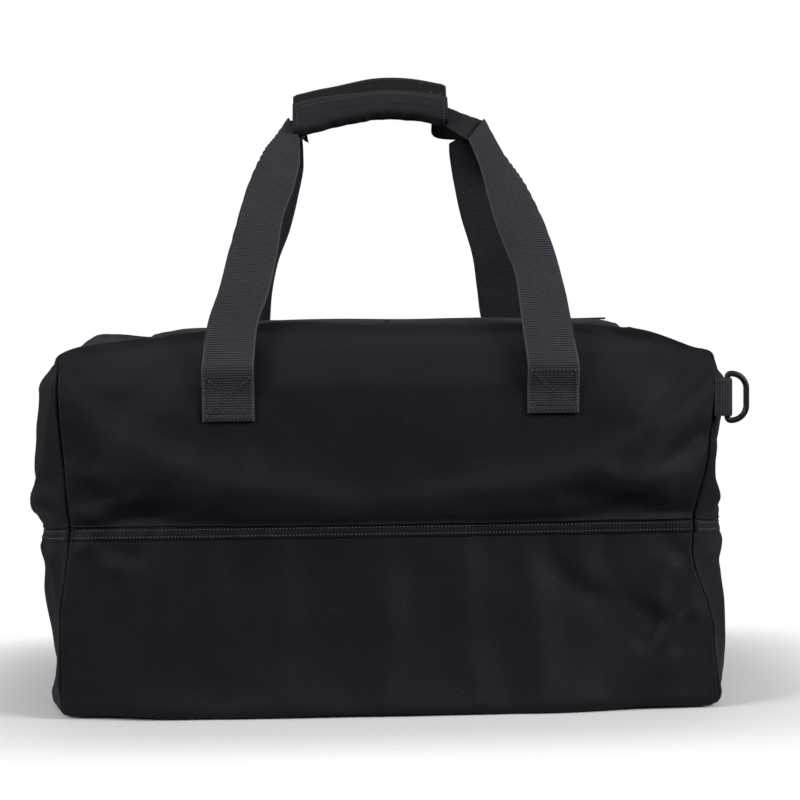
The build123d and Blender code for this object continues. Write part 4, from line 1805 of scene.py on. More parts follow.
    def end_tab(self, end: str, finishes: Finishes) -> None:
        """Make the folded cloth tab that closes one end of the zip.

        Args:
            end: Which end.
            finishes: The finishes.
        """
        low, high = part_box(f"{end}_zip_stop")
        middle, half = (low + high) / 2, (high - low) / 2
        rings, around, inside = 9, 24, 0.98
        points = []
        for k in range(rings):
            along = math.cos(math.pi * (1 - k / (rings - 1)))
            girth = (1 - 0.82 * abs(along) ** 6) ** 0.5
            for turn in range(around):
                angle = math.tau * turn / around
                c, s = math.cos(angle), math.sin(angle)
                y = math.copysign(abs(c) ** 0.35, c) * half.y * inside
                z = math.copysign(abs(s) ** 0.6, s) * half.z * girth * inside
                points.append(middle + Vector((along * half.x, y, z)))
        faces = tube_faces(rings, around, turned=True)
        stop = mesh_object(f"zip_stop_{end}", points, faces, [(p.x, p.y) for p in points])
        way = math.copysign(1.0, middle.x)
        xs = [mix(abs(middle.x), self.tail_end, k / 10) for k in range(11)]
        ys = [mix(-self.tail_half, self.tail_half, k / 8) for k in range(9)]
        level = self.top_z - self.tail_drop
        grid = []
        for y in ys:
            rises = [self.form.top_rise(way * x, y, self.top_z) for x in xs]
            grid.append([Vector((way * x, -way * y, level + rise)) for x, rise in zip(xs, rises)])
        tail = thicken(f"zip_tail_{end}", grid, self.tail_wall, lambda p: DOWN, lambda r, c: (xs[c], ys[r]))
        piece = join_parts(f"zip_end_tab_{end}", [stop, tail])
        dress(piece, finishes.band, "bag_body")
        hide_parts(f"{end}_zip_stop")


# ---------------------------------------------------------------- handles and grip


@dataclass(frozen=True)
class LegShape:
    """One leg of a handle: its outer and inner edge from the fold up to the grip, in the handle's plane."""

    side: int
    outer: Table
    inner: Table
    run_start: tuple[Pair, Pair]
    run_end: tuple[Pair, Pair]
    drift: float = 0.0
    raised: float = 0.0

    @property
    def end(self) -> str:
        """Left or right."""
        return "right" if self.side > 0 else "left"


@dataclass
class Handle:
    """One carrying handle of folded webbing, sewn to the bag at both ends."""

    back: bool
    panel: WallPanel
    pivot: Vector
    lean: float = math.radians(29.70)
    rise: float = 0.22564
    width: float = 0.038
    wall: float = 0.0019
    fold: float = 0.0016
    anchor_x: float = 0.119
    patch_low: float = 0.2186
    patch_high: float = 0.2562
    grip_left: float = -0.0705
    grip_right: float = 0.0512
    legs: tuple[LegShape, ...] = ()
    bow: tuple[float, ...] = (0.0, 0.0, 0.002, 0.004, 0.004, 0.003, 0.001, 0.0, 0.0)
    arch: tuple[float, ...] = (-0.0045, 0.0015, 0.0062, 0.0092, 0.0075, 0.0028)
    columns: int = 24
    seat: float = 0.0004
    wave: float = 0.0011
    cup: float = 0.0009
    run_sag: float = 0.0012
    run_depths: Pair = (-0.0012, -0.0034)
    box_half: float = 0.0168
    stitch_pitch: float = 0.0029
    thread: float = 0.0008

    @property
    def way(self) -> int:
        """-1 at the front, 1 at the back."""
        return 1 if self.back else -1

    @property
    def name(self) -> str:
        """Front or back."""
        return "back" if self.back else "front"

    @property
    def normal(self) -> Vector:
        """The direction off the handle's plane, away from the bag."""
        return Vector((0.0, self.way * math.cos(self.lean), math.sin(self.lean)))

    def place(self, across: float, up: float, out: float) -> Vector:
        """Turn a place in the handle's plane into one in the bag's frame.

        Args:
            across: Distance along the bag.
            up: Distance up the leaning plane from the fold line.
            out: Distance off the plane, away from the bag.

        Returns:
            The point.
        """
        c, s = math.cos(self.lean), math.sin(self.lean)
        y = self.pivot.y + self.way * (-up * s + out * c)
        return Vector((across, y, self.pivot.z + up * c + out * s))

    def lift(self, across: float) -> float:
        """Read how far the grip is arched at a place along it."""
        return value_through(self.arch, (across - self.grip_left) / (self.grip_right - self.grip_left))

    def on_grip(self, across: float, up: float, out: float) -> Vector:
        """Find a place beside the grip's arched middle line, as place() does."""
        return self.place(across, self.rise + self.lift(across) + up, out)

    def patch_y(self, x: float, z: float) -> float:
        """Find how deep the webbing's middle lies where it is sewn down, easing to the fold line."""
        outside = self.panel.skin_at(x, z).y + self.way * (self.seat + self.wall / 2)
        return mix(self.pivot.y - self.way * 0.0006, outside, smooth((self.patch_high - z) / 0.02))

    def patch_x(self, leg: LegShape) -> float:
        """Return the middle of a leg's patch along the bag."""
        return leg.side * self.anchor_x + leg.drift

    def section(self, inner: Vector, outer: Vector, normal: Vector) -> Row:
        """Lay the webbing's full width from its inner edge, folding back what is wider than the gap.

        Args:
            inner: The inner edge.
            outer: Where the outer edge or the fold is.
            normal: Direction off the front face.

        Returns:
            Points on the webbing's middle with the normal at each.
        """
        gap = (outer - inner).length
        along = (outer - inner) / gap
        flat = min(gap - self.fold if gap < self.width - 0.0005 else gap, self.width)
        out = []
        for k in range(self.columns + 1):
            run = self.width * k / self.columns
            if run <= flat:
                out.append((inner + along * run, normal))
                continue
            turn = min(math.pi, (run - flat) / self.fold)
            rest = max(0.0, run - flat - math.pi * self.fold)
            side = along * math.sin(turn) * self.fold - normal * (1 - math.cos(turn)) * self.fold
            point = inner + along * flat + side - along * rest
            out.append((point, normal * math.cos(turn) + along * math.sin(turn)))
        return out

    def ribbon(self, name: str, rows: list[Row], stations: list[float]) -> bpy.types.Object:
        """Make a strap from rows of middle points and normals.

        Args:
            name: The object's name.
            rows: The rows along the strap.
            stations: Distance along the strap of each row.

        Returns:
            The closed strap.
        """
        count = len(rows[0])
        points: list[Vector] = []
        uvs: list[Pair] = []
        for row, station in zip(rows, stations):
            for side, order in ((1, range(count)), (-1, range(count - 1, -1, -1))):
                for k in order:
                    point, normal = row[k]
                    half = self.wall / 2 * (0.45, 1.04, 1.0)[min(k, count - 1 - k, 2)]
                    points.append(point + normal * half * side)
                    uvs.append((station, self.width * k / (count - 1)))
        return mesh_object(name, points, tube_faces(len(rows), 2 * count), uvs)

    def leg_rows(self, leg: LegShape) -> tuple[list[Row], list[float]]:
        """Lay out a leg from the bottom of its sewn patch into the grip.

        Args:
            leg: The leg's shape.

        Returns:
            The rows and the distance along the strap of each.
        """
        columns = self.columns
        rows: list[Row] = []
        face = Vector((0.0, float(self.way), 0.0))
        half = self.width / 2
        patch_rows = 20
        for k in range(patch_rows):
            z = mix(self.patch_low + leg.raised, self.patch_high - 0.002, k / (patch_rows - 1))
            xs = [self.patch_x(leg) + leg.side * mix(-half, half, c / columns) for c in range(columns + 1)]
            rows.append([(Vector((x, self.patch_y(x, z), z)), face) for x in xs])
        steps = 86
        for k in range(1, steps + 1):
            t = k / steps
            outer, inner = spline_through(leg.outer, t), spline_through(leg.inner, t)
            bow = value_through(self.bow, t)
            start = self.place(inner[0], inner[1], -bow * 0.4)
            stop = self.place(outer[0], outer[1], bow)
            normal = face.lerp(self.normal, smooth(t / 0.06)).normalized()
            across = (stop - start).normalized()
            normal = (normal - across * normal.dot(across)).normalized()
            line = self.section(start, stop, normal)
            if t < 0.08:
                line = [(start.lerp(stop, q / columns), normal) for q in range(columns + 1)]
            wave = soft_noise(Vector((k * 0.003, leg.side, self.way)), 0.05) * self.wave
            cup = self.cup * smooth(t / 0.2)
            shaped = []
            for q, (point, direction) in enumerate(line):
                off = wave + cup * (1 - (2 * q / columns - 1) ** 2)
                shaped.append((point + direction * off * smooth(t / 0.1), direction))
            rows.append(shaped)
        stations = [0.0]
        middle = columns // 2
        for before, after in zip(rows, rows[1:]):
            stations.append(stations[-1] + (after[middle][0] - before[middle][0]).length)
        return rows, stations

    def leg(self, leg: LegShape, finishes: Finishes) -> None:
        """Make one leg, from its sewn patch up to the grip.

        Args:
            leg: The leg's shape.
            finishes: The finishes.
        """
        end = leg.end
        piece = self.ribbon(f"strap_{self.name}_{end}", *self.leg_rows(leg))
        dress(piece, finishes.webbing, "")
        x = self.patch_x(leg)
        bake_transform(piece)
        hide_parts(f"{self.name}_{end}_anchor", f"{self.name}_handle")

    def run(self, leg: LegShape, finishes: Finishes) -> None:
        """Make the folded webbing that runs from a leg's top into the grip.

        Args:
            leg: The leg's shape.
            finishes: The finishes.
        """
        rows, stations = [], []
        shallow, deep = self.run_depths
        steps = 24
        for k in range(steps + 1):
            t = k / steps
            outer, inner = (
                [mix(a, b, t) for a, b in zip(first, last)] for first, last in zip(leg.run_start, leg.run_end)
            )
            sag = self.run_sag * math.sin(math.pi * t)
            start = self.place(inner[0], inner[1] - sag, shallow)
            stop = self.place(outer[0], outer[1] - sag, deep)
            across = (stop - start).normalized()
            facing = (self.normal - across * self.normal.dot(across)).normalized()
            rows.append(self.section(start, stop, facing))
            stations.append((start - self.place(*leg.run_start[1], shallow)).length)
        piece = self.ribbon(f"strap_{self.name}_{leg.end}_run", rows, stations)
        # The run takes the darker webbing copy, which paints the shade of the fold.
        dress(piece, finishes.webbing_shaded_copy, f"{self.name}_carry")
        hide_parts(f"{self.name}_handle")

    def patch_stitches(self, leg: LegShape, finishes: Finishes) -> None:
        """Sew the box and the cross that hold a patch.

        Args:
            leg: The leg whose patch it is.
            finishes: The finishes.
        """
        x = self.patch_x(leg)
        left, right = x - self.box_half, x + self.box_half
        low, high = self.patch_low + 0.0035 + leg.raised, self.patch_high - 0.0050 + 0.8 * leg.raised
        corners = [(left, low), (right, low), (right, high), (left, high)]
        lines = [(corners[k], corners[(k + 1) % 4]) for k in range(4)]
        lines += [(corners[0], corners[2]), (corners[1], corners[3])]
        lines.append(((left, low + 0.0035), (right, low + 0.0035)))
        out = Vector((0, self.way, 0))
        rows = []
        for number, (a, b) in enumerate(lines):
            path = []
            for k in range(13):
                px, pz = mix(a[0], b[0], k / 12), mix(a[1], b[1], k / 12)
                y = self.patch_y(px, pz) + self.way * (self.wall / 2 + 0.0001)
                path.append(Vector((px, y, pz)))
            rows.append(stitch_beads(f"box_{number}", path, lambda p: out, self.stitch_pitch, self.thread))
        piece = join_parts(f"patch_stitches_{self.name}_{leg.end}", rows)
        dress(piece, finishes.pale_thread, "bag_body")

    def grip_run(self, finishes: Finishes) -> None:
        """Make the folded webbing that joins both legs through the grip.

        Args:
            finishes: The finishes.
        """
        half = self.width / 4
        rows, stations = [], []
        for k in range(41):
            across = mix(self.grip_left, self.grip_right, k / 40)
            inner, outer = (self.on_grip(across, up, self.fold) for up in (-half, half))
            rows.append(self.section(inner, outer, self.normal))
            stations.append(across - self.grip_left)
        piece = self.ribbon(f"strap_{self.name}_middle", rows, stations)
        dress(piece, finishes.webbing, f"{self.name}_carry")
        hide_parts(f"{self.name}_handle")

    def build(self, finishes: Finishes) -> None:
        """Make and dress the whole handle.

        Args:
            finishes: The finishes.
        """
        for leg in self.legs:
            self.leg(leg, finishes)
            self.run(leg, finishes)
            self.patch_stitches(leg, finishes)
        self.grip_run(finishes)


@dataclass
class Grip:
    """The padded wrap that closes over both handles, with its touch-tape flap."""

    handle: Handle
    half: float = 0.0072
    slot: float = 0.0034
    low: float = -0.0138
    high: float = 0.0108
    tallness: tuple[float, ...] = (1.20, 1.14, 1.02, 0.94, 0.92, 0.95, 1.04)
    around: int = 72
    outer_share: float = 0.60
    end_row: float = 0.0034
    front_swell: float = 1.14
    back_swell: float = 0.86
    loop_end: float = 0.006
    loop_half: float = 0.0052
    loop_wall: float = 0.0007
    loop_crown: float = 0.0005
    end_pitch: float = 0.0026
    end_thread: float = 0.0006
    flap_height: float = 0.0155
    flap_wall: float = 0.0022
    hook_height: float = 0.0120
    hook_wall: float = 0.0008

    def outline(self, share: float) -> tuple[float, ...]:
        """Read the wrap's section: a plump trough that opens upwards.

        Args:
            share: Place round the section, from 0 at the back lip to 1 back inside it.

        Returns:
            The distance off the plane and up it.
        """
        belly = self.half
        shape = (
            (-belly * self.back_swell, self.high),
            (-belly, self.high - 0.006),
            (-belly, self.low + 0.009),
            (-belly * 0.72, self.low + 0.0022),
            (0.0, self.low),
            (belly * 0.80, self.low + 0.0016),
            (belly * 1.12, self.low + 0.0075),
            (belly * self.front_swell, self.high - 0.0095),
            (belly * 0.92, self.high - 0.0024),
            (belly * 0.62, self.high),
            (self.slot, self.high - 0.0016),
            (self.slot, self.low + 0.010),
            (self.slot * 0.5, self.low + 0.0042),
            (-self.slot * 0.5, self.low + 0.0042),
            (-self.slot, self.low + 0.010),
            (-self.slot, self.high - 0.0012),
            (-belly * 0.70, self.high + 0.0006),
        )
        return spline_through(shape, share)

    def wrap(self, finishes: Finishes) -> None:
        """Make the padded wrap with its puckered lower edge and end seams.

        Args:
            finishes: The finishes.
        """
        handle = self.handle
        left, right = handle.grip_left, handle.grip_right
        columns, around = 108, self.around
        points, uvs = [], []
        for k in range(columns + 1):
            across = mix(left, right, k / columns)
            ends = min(across - left, right - across)
            seam = hump(ends - self.end_row, 0.0009) * 0.0005
            tight = 1 - 0.10 * hump(ends, 0.004)
            arch = handle.lift(across)
            tall = value_through(self.tallness, k / columns)
            middle = smooth(ends / 0.02)
            centre = handle.place(across, handle.rise + arch, 0.0)
            broad = soft_noise(Vector((across, 0.0, 0.0)), 0.0085, 51.0)
            for turn in range(around):
                out, up = self.outline(turn / around)
                up *= tall
                outside = 1.0 if turn / around < self.outer_share else 0.0
                low = smooth((self.low + 0.009 - up) / 0.008)
                gather = broad + 0.5 * soft_noise(Vector((across, up, 0.0)), 0.004, 57.0)
                lump = soft_noise(Vector((across, out, up)), 0.016, 53.0) * 0.0005 * outside
                grow = 1 + (gather * 0.10 * low * middle + lump / self.half) * outside
                up_shift = gather * 0.0011 * low * middle * outside
                point = handle.place(across, handle.rise + arch + up * tight + up_shift, out * grow * tight)
                points.append(point + (centre - point).normalized() * seam * outside)
                uvs.append((across, turn / around * 0.09))
        faces = turned_over(grid_faces(columns + 1, around, closed=True))
        faces += self.rim(0, False) + self.rim(columns * around, True)
        piece = mesh_object("grip_wrap_padded", points, faces, uvs)
        dress(piece, finishes.grip, f"{handle.name}_carry")
        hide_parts("grip_wrap")

    def rim(self, first: int, far: bool) -> list[Face]:
        """Close one open end of the wrap between its outer and inner skins.

        Args:
            first: Number of the end's first point.
            far: Whether it is the right-hand end.

        Returns:
            The faces.
        """
        outside = round(self.around * self.outer_share)
        reach, last = self.around - outside - 1, first + self.around - 1
        faces = []
        for k in range(outside):
            inner = [first + outside + round((outside - k - j) / outside * reach) for j in (0, 1)]
            ring = (first + k + 1, first + k, min(inner[0], last), min(inner[1], last))
            unique = tuple(dict.fromkeys(ring))
            if len(unique) > 2:
                faces.append(unique)
        return turned_over(faces) if far else faces

    def loop(self, finishes: Finishes) -> None:
        """Make the loop tape sewn along the wrap's front.

        Args:
            finishes: The finishes.
        """
        handle = self.handle
        left, right = handle.grip_left + self.loop_end, handle.grip_right - self.loop_end
        xs = [mix(left, right, k / 96) for k in range(97)]
        grid = []
        for r in (k / 8 for k in range(9)):
            up = mix(-self.loop_half, self.loop_half, r)
            out = self.half * self.front_swell - 0.0002 + self.loop_crown * smooth(min(r, 1 - r) / 0.12)
            grid.append([handle.on_grip(x, up, out) for x in xs])
        inward = -handle.normal
        piece = thicken(
            "grip_loop_tape", grid, self.loop_wall, lambda p: inward, lambda r, c: (c * 0.001, r * 0.001)
        )
        dress(piece, finishes.grip, f"{handle.name}_carry")
        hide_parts("grip_loop_strip")

    def flap_grid(self, low: float, high: float, out: float, trim: float) -> list[list[Vector]]:
        """Lay out a strip that stands behind the wrap.

        Args:
            low: Height of its lower edge above the wrap's middle.
            high: Height of its upper edge.
            out: Distance off the handle's plane.
            trim: How far its ends stop short of the grip's.

        Returns:
            Rows of points.
        """
        handle = self.handle
        grid = []
        for r in range(13):
            line = []
            for k in range(97):
                across = mix(handle.grip_left + trim, handle.grip_right - trim, k / 96)
                climb = r / 12
                wave = soft_noise(Vector((across, 0, 0)), 0.028, 61.0) * 0.0012 * climb
                ends = sum(hump(across - end, 0.002) for end in (handle.grip_left, handle.grip_right))
                up = mix(low, high, climb) - 0.0016 * ends * climb
                up += wave * 0.6 + 0.0022 * smooth((across + 0.06) / 0.05) * climb
                line.append(handle.on_grip(across, up, out - 0.0008 * climb + wave))
            grid.append(line)
        return grid

    def flap(self, finishes: Finishes) -> None:
        """Make the flap that stands open behind the wrap and the hook tape on its face.

        Args:
            finishes: The finishes.
        """
        back = self.flap_wall - self.half * self.back_swell
        inward = -self.handle.normal
        low = self.high + 0.0006
        grid = self.flap_grid(low, low + self.flap_height, back, 0.0)
        cloth = thicken(
            "grip_flap_cloth", grid, self.flap_wall, lambda p: inward, lambda r, c: (c * 0.0012, r * 0.001)
        )
        dress(cloth, finishes.grip, "grip_closer")
        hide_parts("grip_flap")
        margin = (self.flap_height - self.hook_height) / 2
        grid = self.flap_grid(low + margin, low + margin + self.hook_height, back + self.hook_wall, 0.002)
        hook = thicken(
            "grip_hook_tape", grid, self.hook_wall, lambda p: inward, lambda r, c: (c * 0.0012, r * 0.001)
        )
        dress(hook, finishes.hook, "grip_closer")
        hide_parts("grip_hook_strip")

    def end_stitches(self, finishes: Finishes) -> None:
        """Sew the rows that close both ends of the wrap.

        Args:
            finishes: The finishes.
        """
        handle = self.handle
        rows = []
        for number, across in enumerate((handle.grip_left + self.end_row, handle.grip_right - self.end_row)):
            path = []
            for turn in range(10, 34):
                out, up = self.outline(turn / self.around)
                path.append(handle.on_grip(across, up * 0.98, out * 0.98))
            middle = handle.on_grip(across, 0.0, 0.0)

            def outward(p: Vector, middle: Vector = middle) -> Vector:
                """Point away from the grip's middle line."""
                return (p - middle).normalized()

            rows.append(stitch_beads(f"end_{number}", path, outward, self.end_pitch, self.end_thread))
        piece = join_parts("grip_end_stitches", rows)
        dress(piece, finishes.thread, f"{handle.name}_carry")

    def build(self, finishes: Finishes) -> None:
        """Make and dress the whole grip.

        Args:
            finishes: The finishes.
        """
        self.wrap(finishes)
        self.loop(finishes)
        self.flap(finishes)
        self.end_stitches(finishes)


# ---------------------------------------------------------------- hardware


@dataclass
class RingTab:
    """The folded webbing tab that leaves a corner seam and holds a D-ring's bar."""

    node: str
    wall: float = 0.0013
    tucked: float = 0.004
    hem: float = 0.0006

    def build(self, finishes: Finishes) -> None:
        """Make the tab.

        Args:
            finishes: The finishes.
        """
        low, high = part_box(self.node)
        way = 1.0 if low.x > 0 else -1.0
        outer = max(abs(low.x), abs(high.x))
        inner = min(abs(low.x), abs(high.x)) - self.tucked
        radius = (high.y - low.y) / 2 - self.wall / 2
        middle_y = (low.y + high.y) / 2
        bar = outer - radius - self.wall / 2
        neck = bar - radius * 1.1
        shut, wide = self.wall * 0.52, radius * 0.8
        path = [(mix(inner, neck, k / 8), mix(-shut, -wide, smooth(k / 8))) for k in range(9)]
        for k in range(1, 18):
            angle = math.radians(mix(-128, 128, k / 18))
            path.append((bar + radius * math.cos(angle), radius * math.sin(angle)))
        path += [(mix(neck, inner, k / 8), mix(wide, shut, smooth(k / 8))) for k in range(9)]
        rows, stations, grid = 14, [0.0], []
        for a, b in zip(path, path[1:]):
            stations.append(stations[-1] + math.dist(a, b))
        for r in range(rows + 1):
            z = mix(low.z + self.hem, high.z - self.hem, r / rows)
            grid.append([Vector((way * px, middle_y + way * py, z)) for px, py in path])
        points, uvs = [], []
        for offset in (self.wall / 2, -self.wall / 2):
            for r, row in enumerate(grid):
                for k, p in enumerate(row):
                    before, after = row[max(k - 1, 0)], row[min(k + 1, len(row) - 1)]
                    along = (after - before).normalized()
                    rim = 0.5 if r in (0, rows) else 1.0
                    points.append(p + along.cross(UP) * offset * rim)
                    uvs.append((stations[k], (high.z - low.z) * r / rows))
        faces = slab_faces(rows + 1, len(path))
        piece = mesh_object(self.node.replace("_tab", "_webbing_tab"), points, faces, uvs)
        dress(piece, finishes.webbing, "bag_body")
        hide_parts(self.node)


def finish_carried_nodes(finishes: Finishes) -> None:
    """Give the CAD nodes that stay in view their own finishes.

    Args:
        finishes: The finishes.
    """
    chosen = {
        "zip_slider": finishes.metal,
        "zip_pull": finishes.metal,
        "front_ring": finishes.metal,
        "back_ring": finishes.metal,
        "base_board": finishes.board,
    }
    for node, finish in chosen.items():
        carried = frame["nodes"][node]
        carried.data.materials.clear()
        carried.data.materials.append(finish)
        log.info("node %s keeps its shape", node)


# ---------------------------------------------------------------- studio


@dataclass
class Studio:
    """The plain pale floor, the soft lights and the camera."""

    eye: Vector = Vector((-0.034, -1.404, 0.296))
    yaw: float = math.radians(1.87)
    pitch: float = math.radians(-2.82)
    roll: float = math.radians(-0.62)
    lens: float = 78.9
    sensor: float = 36.0
    nearest: float = 0.05
    aim: Vector = 0.2 * UP
    floor_size: float = 6.0
    floor_drop: float = 0.0004
    floor_colour: Colour = (0.42, 0.42, 0.44)
    floor_seen: Colour = (0.88, 0.88, 0.89)
    floor_patch: Pair = (0.40, 0.235)
    floor_fade: Pair = (0.45, 1.25)
    sky_height: Pair = (-0.1, 0.6)
    sky_light: Pair = (0.10, 0.28)
    lamps: tuple = (
        ("overhead", (0.0, 0.2, 1.9), 1.4, 4.0),
        ("front_left", (-1.75, -1.05, 1.10), 0.9, 30.0),
        ("front_right", (1.75, -1.0, 1.15), 0.9, 35.0),
    )

    def camera(self) -> None:
        """Set up the camera."""
        data = bpy.data.cameras.new("camera")
        data.lens = self.lens
        data.sensor_width = self.sensor
        data.clip_start = self.nearest
        camera = bpy.data.objects.new("camera", data)
        bpy.context.scene.collection.objects.link(camera)
        cos_p = math.cos(self.pitch)
        ahead = Vector((math.sin(self.yaw) * cos_p, math.cos(self.yaw) * cos_p, math.sin(self.pitch)))
        right = Vector((math.cos(self.yaw), -math.sin(self.yaw), 0.0))
        up = right.cross(ahead)
        c, s = math.cos(self.roll), math.sin(self.roll)
        right, up = right * c + up * s, up * c - right * s
        turned = Matrix((right, up, -ahead)).transposed().to_4x4()
        camera.matrix_world = Matrix.Translation(self.eye) @ turned
        bpy.context.scene.camera = camera

    def lamp(self, name: str, place: Vector, size: float, power: float) -> None:
        """Add a soft square lamp that points at the bag.

        Args:
            name: Its name.
            place: Where it hangs.
            size: Its side in metres.
            power: Its power in watts.
        """
        data = bpy.data.lights.new(name, "AREA")
        data.shape = "SQUARE"
        data.size = size
        data.energy = power
        lamp = bpy.data.objects.new(name, data)
        bpy.context.scene.collection.objects.link(lamp)
        lamp.location = place
        lamp.rotation_euler = (self.aim - place).to_track_quat("-Z", "Y").to_euler()

    def floor(self) -> None:
        """Lay the pale floor, which fades into the background away from the bag."""
        half = self.floor_size / 2
        corners = ((-half, -half), (half, -half), (half, half), (-half, half))
        points = [Vector((x, y, -self.floor_drop)) for x, y in corners]
        floor = mesh_object("studio_floor", points, [(0, 1, 2, 3)])
        material, g, shader = start_material("pale_floor")
        seen = g.add("ShaderNodeLightPath").outputs["Is Camera Ray"]
        g.link(tint(g, seen, self.floor_colour, self.floor_seen), shader.inputs["Base Color"])
        set_values(shader, {"Roughness": 0.6})
        place = g.add("ShaderNodeTexCoord").outputs["Object"]
        split = g.add("ShaderNodeSeparateXYZ")
        g.link(place, split.inputs[0])
        along, across = (g.math("DIVIDE", split.outputs[k], self.floor_patch[k]) for k in (0, 1))
        reach = g.math("SQRT", g.math("ADD", g.math("POWER", along, 4.0), g.math("POWER", across, 4.0)))
        clear = g.ramp(reach, *self.floor_fade)
        through = g.add("ShaderNodeBsdfTransparent")
        blend = g.add("ShaderNodeMixShader")
        output = material.node_tree.nodes["Material Output"]
        g.link(clear, blend.inputs[0])
        g.link(shader.outputs[0], blend.inputs[1])
        g.link(through.outputs[0], blend.inputs[2])
        g.link(blend.outputs[0], output.inputs["Surface"])
        floor.data.materials.append(material)

    def world(self) -> None:
        """Make the background white to look at and even, soft light to be lit by."""
        world = bpy.data.worlds.new("studio_world")
        world.use_nodes = True
        bpy.context.scene.world = world
        g = Graph(world.node_tree)
        shade = world.node_tree.nodes["Background"]
        seen = g.add("ShaderNodeLightPath")
        seen_any = g.math("MAXIMUM", seen.outputs["Is Camera Ray"], seen.outputs["Is Transmission Ray"])
        split = g.add("ShaderNodeSeparateXYZ")
        g.link(g.add("ShaderNodeTexCoord").outputs["Generated"], split.inputs[0])
        sky = g.ramp(split.outputs[2], *self.sky_height, *self.sky_light)
        g.link(g.math("MAXIMUM", sky, seen_any), shade.inputs["Strength"])
        set_values(shade, {"Color": (1.0, 1.0, 1.0, 1.0)})

    def build(self) -> None:
        """Set the whole studio up."""
        view = bpy.context.scene.view_settings
        view.view_transform = "Standard"
        self.camera()
        self.floor()
        self.world()
        for name, place, size, power in self.lamps:
            self.lamp(name, Vector(place), size, power)


# ---------------------------------------------------------------- putting it together


# Creases at an end panel. Only the one beside the front of the waist differs from end to end.
UPPER_END_FOLDS = (
    Fold((-0.095, 0.168), (-0.030, 0.150), 0.0046, 0.007, 1.8),
    Fold((-0.090, 0.154), (-0.040, 0.148), -0.0030, 0.005),
    Fold((0.090, 0.165), (0.030, 0.150), 0.0036, 0.008, 1.6),
    Fold((0.104, 0.206), (0.104, 0.254), -0.0038, 0.014),
    Fold((-0.020, 0.250), (0.050, 0.180), -0.0018, 0.018),
    Fold((0.0, 0.200), (0.0, 0.150), 0.0016, 0.020),
)
LOWER_END_FOLDS = (
    Fold((-0.100, 0.112), (-0.085, 0.030), -0.0022, 0.012),
    Fold((0.095, 0.115), (0.040, 0.128), 0.0030, 0.008, 1.6),
    Fold((0.020, 0.110), (-0.010, 0.040), 0.0018, 0.020),
)

# Creases that gather at the waist's ends and run down the cloth of each panel.
FOLDS: dict[tuple[Side, Tier], tuple[Fold, ...]] = {
    (Side.FRONT, Tier.UPPER): (
        Fold((-0.226, 0.152), (-0.175, 0.170), 0.0042, 0.007, 1.7, 0.004),
        Fold((-0.205, 0.146), (-0.165, 0.150), -0.0022, 0.006),
        Fold((-0.215, 0.215), (-0.160, 0.262), -0.0014, 0.012, 1.5),
        Fold((-0.178, 0.170), (-0.165, 0.240), 0.0055, 0.030),
        Fold((0.190, 0.165), (0.180, 0.240), 0.0050, 0.028),
        Fold((-0.150, 0.175), (-0.125, 0.225), -0.0020, 0.012, 1.3),
        Fold((-0.125, 0.160), (-0.100, 0.200), 0.0022, 0.014),
        Fold((-0.020, 0.150), (0.050, 0.178), -0.0018, 0.016),
        Fold((0.135, 0.166), (0.215, 0.149), -0.0040, 0.006, 1.9, -0.002),
        Fold((0.150, 0.185), (0.215, 0.160), 0.0030, 0.011, 1.4),
        Fold((0.185, 0.215), (0.165, 0.185), -0.0022, 0.012),
        Fold((0.215, 0.250), (0.170, 0.275), -0.0020, 0.013),
    ),
    (Side.FRONT, Tier.LOWER): (
        Fold((-0.224, 0.131), (-0.195, 0.110), 0.0030, 0.006, 1.6, -0.002),
        Fold((-0.215, 0.125), (-0.180, 0.118), -0.0020, 0.006),
        Fold((-0.190, 0.120), (-0.185, 0.040), 0.0016, 0.022),
        Fold((-0.090, 0.120), (-0.080, 0.030), -0.0016, 0.024),
        Fold((-0.015, 0.125), (-0.005, 0.060), 0.0018, 0.014),
        Fold((0.120, 0.126), (0.165, 0.082), -0.0030, 0.010, 1.6, 0.006),
        Fold((0.222, 0.112), (0.200, 0.078), 0.0044, 0.008, 1.8, 0.002),
        Fold((0.205, 0.070), (0.188, 0.046), -0.0030, 0.006, 1.5),
        Fold((0.225, 0.070), (0.212, 0.045), -0.0022, 0.006),
        Fold((0.218, 0.072), (0.202, 0.048), 0.0020, 0.005),
    ),
    (Side.BACK, Tier.UPPER): (
        Fold((-0.220, 0.155), (-0.160, 0.172), 0.0036, 0.008, 1.6),
        Fold((0.220, 0.154), (0.165, 0.168), 0.0040, 0.007, 1.7),
        Fold((-0.100, 0.180), (-0.060, 0.240), -0.0018, 0.018),
        Fold((0.060, 0.160), (0.110, 0.210), -0.0018, 0.018),
    ),
    (Side.BACK, Tier.LOWER): (
        Fold((-0.220, 0.128), (-0.180, 0.100), 0.0032, 0.008, 1.6),
        Fold((0.220, 0.128), (0.185, 0.104), 0.0030, 0.008, 1.6),
        Fold((-0.060, 0.125), (-0.050, 0.050), 0.0016, 0.020),
        Fold((0.090, 0.125), (0.085, 0.040), -0.0016, 0.022),
    ),
    (Side.LEFT, Tier.UPPER): UPPER_END_FOLDS,
    (Side.RIGHT, Tier.UPPER): UPPER_END_FOLDS,
    (Side.LEFT, Tier.LOWER): (Fold((-0.095, 0.118), (-0.030, 0.128), 0.0040, 0.007, 1.8), *LOWER_END_FOLDS),
    (Side.RIGHT, Tier.LOWER): (Fold((-0.095, 0.110), (-0.030, 0.128), 0.0040, 0.007, 1.8), *LOWER_END_FOLDS),
}


